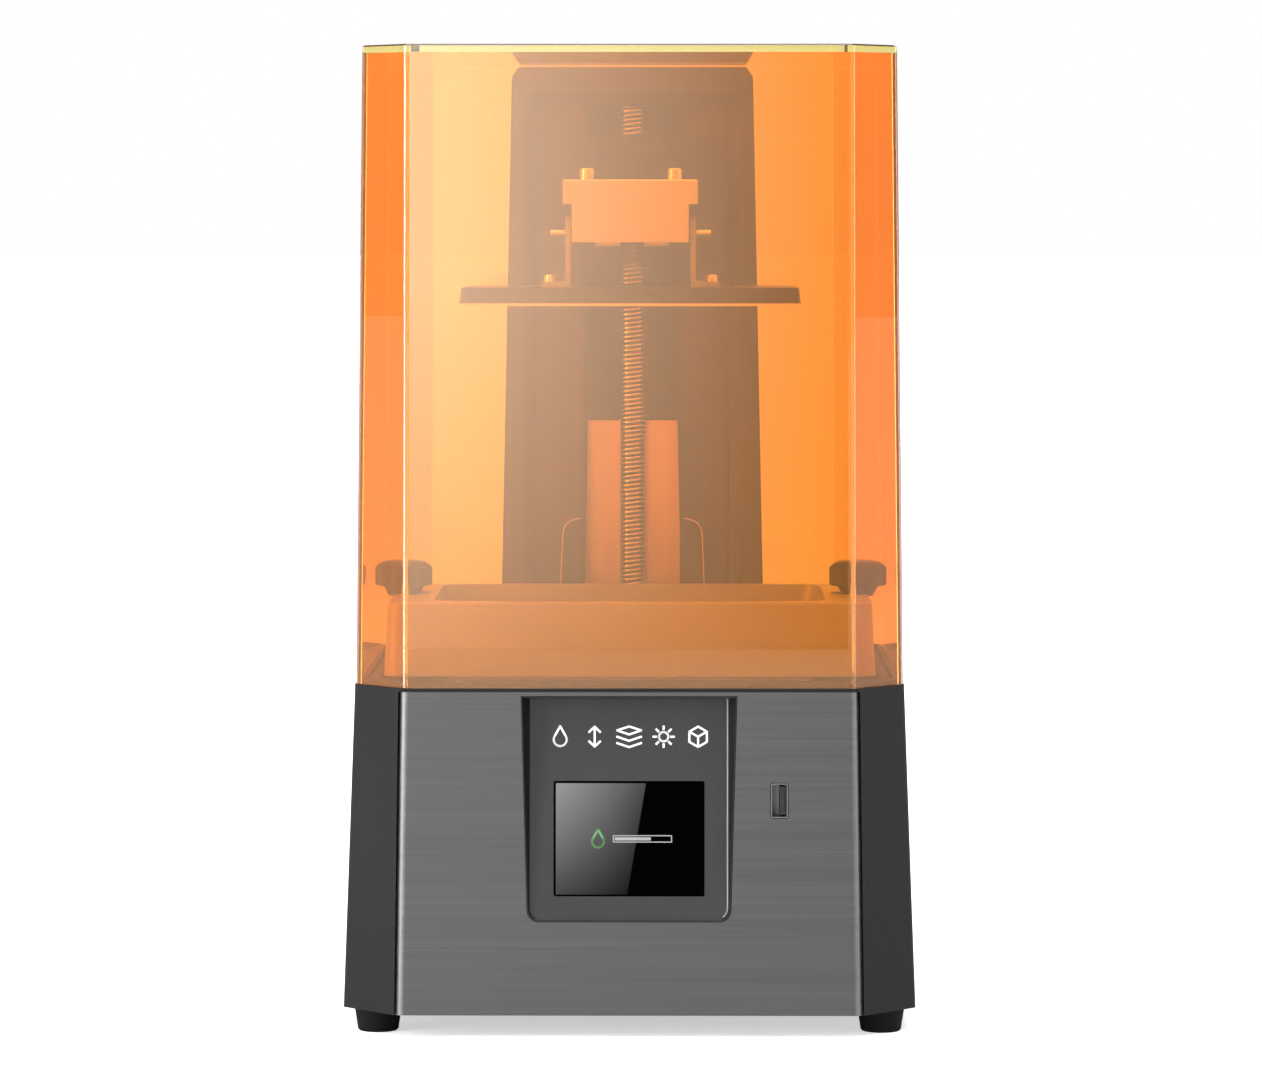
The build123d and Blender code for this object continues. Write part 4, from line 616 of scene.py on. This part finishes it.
def front_point(node, x, z):
    """Where a ray from the front meets a node, with the surface's outward and upward directions there."""
    mesh = nodes[node].data
    corners = [vertex.co for vertex in mesh.vertices]
    surface = BVHTree.FromPolygons(corners, [face.vertices for face in mesh.polygons])
    start = Vector((x, cad_low.y - RAY_START, z))
    place, outward, _, _ = surface.ray_cast(start, Vector((0.0, 1.0, 0.0)))
    if outward.y > 0:
        outward = -outward
    upward = outward.cross(Vector((1.0, 0.0, 0.0)))
    return place, outward, upward if upward.z > 0 else -upward


def flat_mark(name, look, node, centre, outlines, thickness=0.12 * MM):
    """Thin raised shapes on a node's front face; outlines are in millimetres about the centre (x, z)."""
    at, outward, upward = front_point(node, *centre)
    mark = bmesh.new()
    for outline in outlines:
        places = [at + Vector((u * MM, 0, 0)) + upward * v * MM - outward * MARK_SUNK for u, v in outline]
        mark.faces.new([mark.verts.new(place) for place in places])
    raised = bmesh.ops.extrude_face_region(mark, geom=list(mark.faces))
    lifted = [part for part in raised["geom"] if isinstance(part, bmesh.types.BMVert)]
    bmesh.ops.translate(mark, verts=lifted, vec=outward * thickness)
    bmesh.ops.recalc_face_normals(mark, faces=list(mark.faces))
    mesh = bpy.data.meshes.new(name)
    mark.to_mesh(mesh)
    mark.free()
    new_piece(name, mesh, "base", look)


def band(path, width, closed=False):
    """Quads that follow a path as a line of even width."""
    quads = []
    count = len(path) if closed else len(path) - 1
    for i in range(count):
        start, end = Vector(path[i]), Vector(path[(i + 1) % len(path)])
        along = (end - start).normalized()
        side = Vector((-along.y, along.x)) * width / 2
        over = along * width * JOIN_OVERLAP
        corners = (start - over + side, start - over - side, end + over - side, end + over + side)
        quads.append([tuple(corner) for corner in corners])
    return quads


def arc(centre, radius, first, last, steps):
    """Points on an arc, angles in degrees."""
    angles = [math.radians(first + (last - first) * i / steps) for i in range(steps + 1)]
    return [(centre[0] + radius * math.cos(t), centre[1] + radius * math.sin(t)) for t in angles]


def droplet(centre, size):
    """A drop with its point up."""
    bowl = arc((0.0, -0.28), 0.62, 150, 390, 18)
    return [(centre[0] + size * x, centre[1] + size * y) for x, y in [(0.0, 1.0), *bowl]]


# Five signs in a row, in millimetres about the row's middle: a drop, a lift arrow, layers, a lamp and a cube.
LINE = 0.85
MARK_GAP = 14.2
MARK_HEIGHT = 123.8 * MM
lift_x, lamp_x, cube_x = -MARK_GAP, MARK_GAP, 2 * MARK_GAP
drop_sign = band(droplet((-2 * MARK_GAP, 0.0), 4.3), LINE, True)
lift_sign = band([(lift_x, -4.0), (lift_x, 4.0)], LINE)
for way in (1, -1):
    lift_sign += band([(lift_x - 2.3, 1.9 * way), (lift_x, 4.1 * way), (lift_x + 2.3, 1.9 * way)], LINE)
layer_sign = []
for rise in (-2.6, 0.0, 2.6):
    layer_sign += band([(-5.0, rise), (0.0, rise - 1.7), (5.0, rise)], LINE)
layer_sign += band([(-5.0, 2.6), (0.0, 4.2), (5.0, 2.6)], LINE)
lamp_sign = band(arc((lamp_x, 0.0), 1.9, 0, 342, 19), LINE, True)
for ray in range(8):
    spoke = math.radians(45 * ray)
    ends = [(lamp_x + reach * math.cos(spoke), reach * math.sin(spoke)) for reach in (3.0, 4.3)]
    lamp_sign += band(ends, LINE)
cube_left, cube_right = cube_x - 3.6, cube_x + 3.6
cube_sign = band([(cube_left, 2.1), (cube_x, 4.2), (cube_right, 2.1), (cube_right, -2.1), (cube_x, -4.2),
                  (cube_left, -2.1)], LINE, True)
cube_sign += band([(cube_left, 2.1), (cube_x, 0.0), (cube_right, 2.1)], LINE)
cube_sign += band([(cube_x, 0.0), (cube_x, -4.2)], LINE)
for sign_name, sign in (("sign_drop", drop_sign), ("sign_lift", lift_sign), ("sign_layers", layer_sign),
                        ("sign_lamp", lamp_sign), ("sign_cube", cube_sign)):
    flat_mark(sign_name, "ink", "display_bezel", (0.0, MARK_HEIGHT), sign)

# On the display, a drop and a bar that is part full.
DISPLAY_THICKNESS = 0.06 * MM
BAR_LEFT, BAR_RIGHT, BAR_HALF = -6.5, 17.5, 1.3
BAR_FULL = 14.0
screen_low, screen_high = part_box("touch_screen")
screen_middle = (0.0, (screen_low.z + screen_high.z) / 2)
icon = band(droplet((-12.8, 0.0), 3.9), 0.9, True)
bar_corners = [(BAR_LEFT, -BAR_HALF), (BAR_RIGHT, -BAR_HALF), (BAR_RIGHT, BAR_HALF), (BAR_LEFT, BAR_HALF)]
bar = band(bar_corners, 0.42, True)
bar += band([(BAR_LEFT + 1.0, 0.0), (BAR_LEFT + 1.0 + BAR_FULL, 0.0)], 1.3)
for mark_name, look, outlines in (("display_drop", "glow_green", icon), ("display_bar", "glow_white", bar)):
    flat_mark(mark_name, look, "touch_screen", screen_middle, outlines, DISPLAY_THICKNESS)


# ------------------------------------------------------------------ thin lines
LINE_THICKNESS = 0.10 * MM
RECESS_HALF = 42.4
RECESS_TOP = 387.1
RECESS_FOOT = 145.0
RECESS_CORNER = 3.2
SKIRT_GLINT_PATH = ((33.1, 146.0), (30.9, 197.5), (30.3, 200.3), (28.7, 202.6), (26.4, 203.6), (23.2, 204.4))
BEZEL_LINE_X = 40.5
BEZEL_LINE_HIGH = 139.3
BEZEL_LINE_LOW = 48.8
BEZEL_LINE_CORNER = 4.7


def line_on(name, look, node, centre, path, width):
    """A thin raised line on a node's front face; the path is in millimetres (x, z) from the frame's origin."""
    local = [(x - centre[0] / MM, z - centre[1] / MM) for x, z in path]
    flat_mark(name, look, node, centre, band(local, width), LINE_THICKNESS)


# A dark line around the column recess's edge is painted shade, in place of the shadow along that edge.
shade_corner_x = RECESS_HALF - RECESS_CORNER
shade_corner_z = RECESS_TOP - RECESS_CORNER
shade_outline = [
    (-RECESS_HALF, RECESS_FOOT),
    *arc((-shade_corner_x, shade_corner_z), RECESS_CORNER, 180, 90, 6),
    *arc((shade_corner_x, shade_corner_z), RECESS_CORNER, 90, 0, 6),
    (RECESS_HALF, RECESS_FOOT),
]
line_on("recess_shade_line", "dull", "column_cover", (0.032, 0.264), shade_outline, 0.9)
# Bright lines along the skirt's outer edges are painted highlights.
for side, side_name in ((-1, "left"), (1, "right")):
    glint_path = [(side * x, z) for x, z in SKIRT_GLINT_PATH]
    centre = (side * 0.027, 0.174)
    line_on("skirt_glint_" + side_name, "bright", "channel_skirt", centre, glint_path, 0.4)
# A bright line down the bezel's right edge is a painted highlight.
bezel_turn = (BEZEL_LINE_X - BEZEL_LINE_CORNER, BEZEL_LINE_LOW + BEZEL_LINE_CORNER)
bezel_glint = [(BEZEL_LINE_X, BEZEL_LINE_HIGH), *arc(bezel_turn, BEZEL_LINE_CORNER, 0, -50, 5)]
line_on("bezel_glint_line", "bezel_glint", "display_bezel", (0.0365, 0.095), bezel_glint, 0.55)


# ------------------------------------------------------------------ inlet pin
BACK_LEAN = math.atan2(4.5, 134.6)
PIN_PROFILE = ((-11.6, 0.0), (-11.6, 1.0), (-2.4, 1.0), (-1.9, 0.8), (-1.7, 0.4), (-1.65, 0.0))
PIN_TIP_RADIUS = 0.02
PIN_AROUND = 20


def inlet_pin():
    """The contact pin down the middle of the power inlet, as a turned rod with a rounded tip."""
    outward = Vector((0.0, math.cos(BACK_LEAN), math.sin(BACK_LEAN)))
    mouth = Vector(next(m for m in frame["record"]["mounts"] if m["name"] == "power_inlet")["pos_m"])
    side = Vector((1.0, 0.0, 0.0))
    other = outward.cross(side)
    verts = []
    for depth, radius in PIN_PROFILE:
        for i in range(PIN_AROUND):
            angle = 2 * math.pi * i / PIN_AROUND
            spoke = side * math.cos(angle) + other * math.sin(angle)
            verts.append(mouth + outward * depth * MM + spoke * max(radius, PIN_TIP_RADIUS) * MM)
    tube("inlet_pin", "base", "steel", verts, PIN_AROUND, flip=True)


inlet_pin()


# ------------------------------------------------------------------ soft edges
SHARP_ANGLE = math.radians(35)
EDGE_RADII = (
    # node, radius in millimetres
    ("platform_mount", 0.4),
    ("build_plate", 0.3),
    ("screw_guard", 0.2),
    ("cantilever_arm", 0.4),
    ("carriage_block", 0.4),
    ("feet", 0.4),
    ("washer_left", 0.2),
    ("washer_right", 0.2),
)
for node, radius in EDGE_RADII:
    bevel = nodes[node].modifiers.new("soft_edges", "BEVEL")
    bevel.width = radius * MM
    bevel.segments = 2
    bevel.limit_method = "ANGLE"
    bevel.angle_limit = SHARP_ANGLE
    bevel.harden_normals = False


# ------------------------------------------------------------------ floor
FLOOR_HALF = 60.0
FLOOR_LIFT = 0.55

# The floor is a little lighter where it is seen, so that the shadow on it stays faint.
floor_look = grained("floor_pale", (0.90, 0.90, 0.90), 0.8, 0.02, 0.0, spread=0.004)
floor_tree = floor_look.node_tree
floor_rays = add_node(floor_tree, "ShaderNodeLightPath").outputs["Is Camera Ray"]
floor_lift = add_node(floor_tree, "ShaderNodeMath", {0: floor_rays, 1: FLOOR_LIFT}, operation="MULTIPLY")
floor_shader = next(node for node in floor_tree.nodes if node.type == "BSDF_PRINCIPLED")
floor_tree.links.new(floor_lift.outputs[0], floor_shader.inputs["Emission Strength"])
floor_shader.inputs["Emission Color"].default_value = WHITE

floor_corners = [(x * FLOOR_HALF, y * FLOOR_HALF, 0) for x, y in ((-1, -1), (1, -1), (1, 1), (-1, 1))]
floor_mesh = bpy.data.meshes.new("floor")
floor_mesh.from_pydata(floor_corners, [], [(0, 1, 2, 3)])
floor_mesh.materials.append(floor_look)
floor = new_object("floor", floor_mesh)
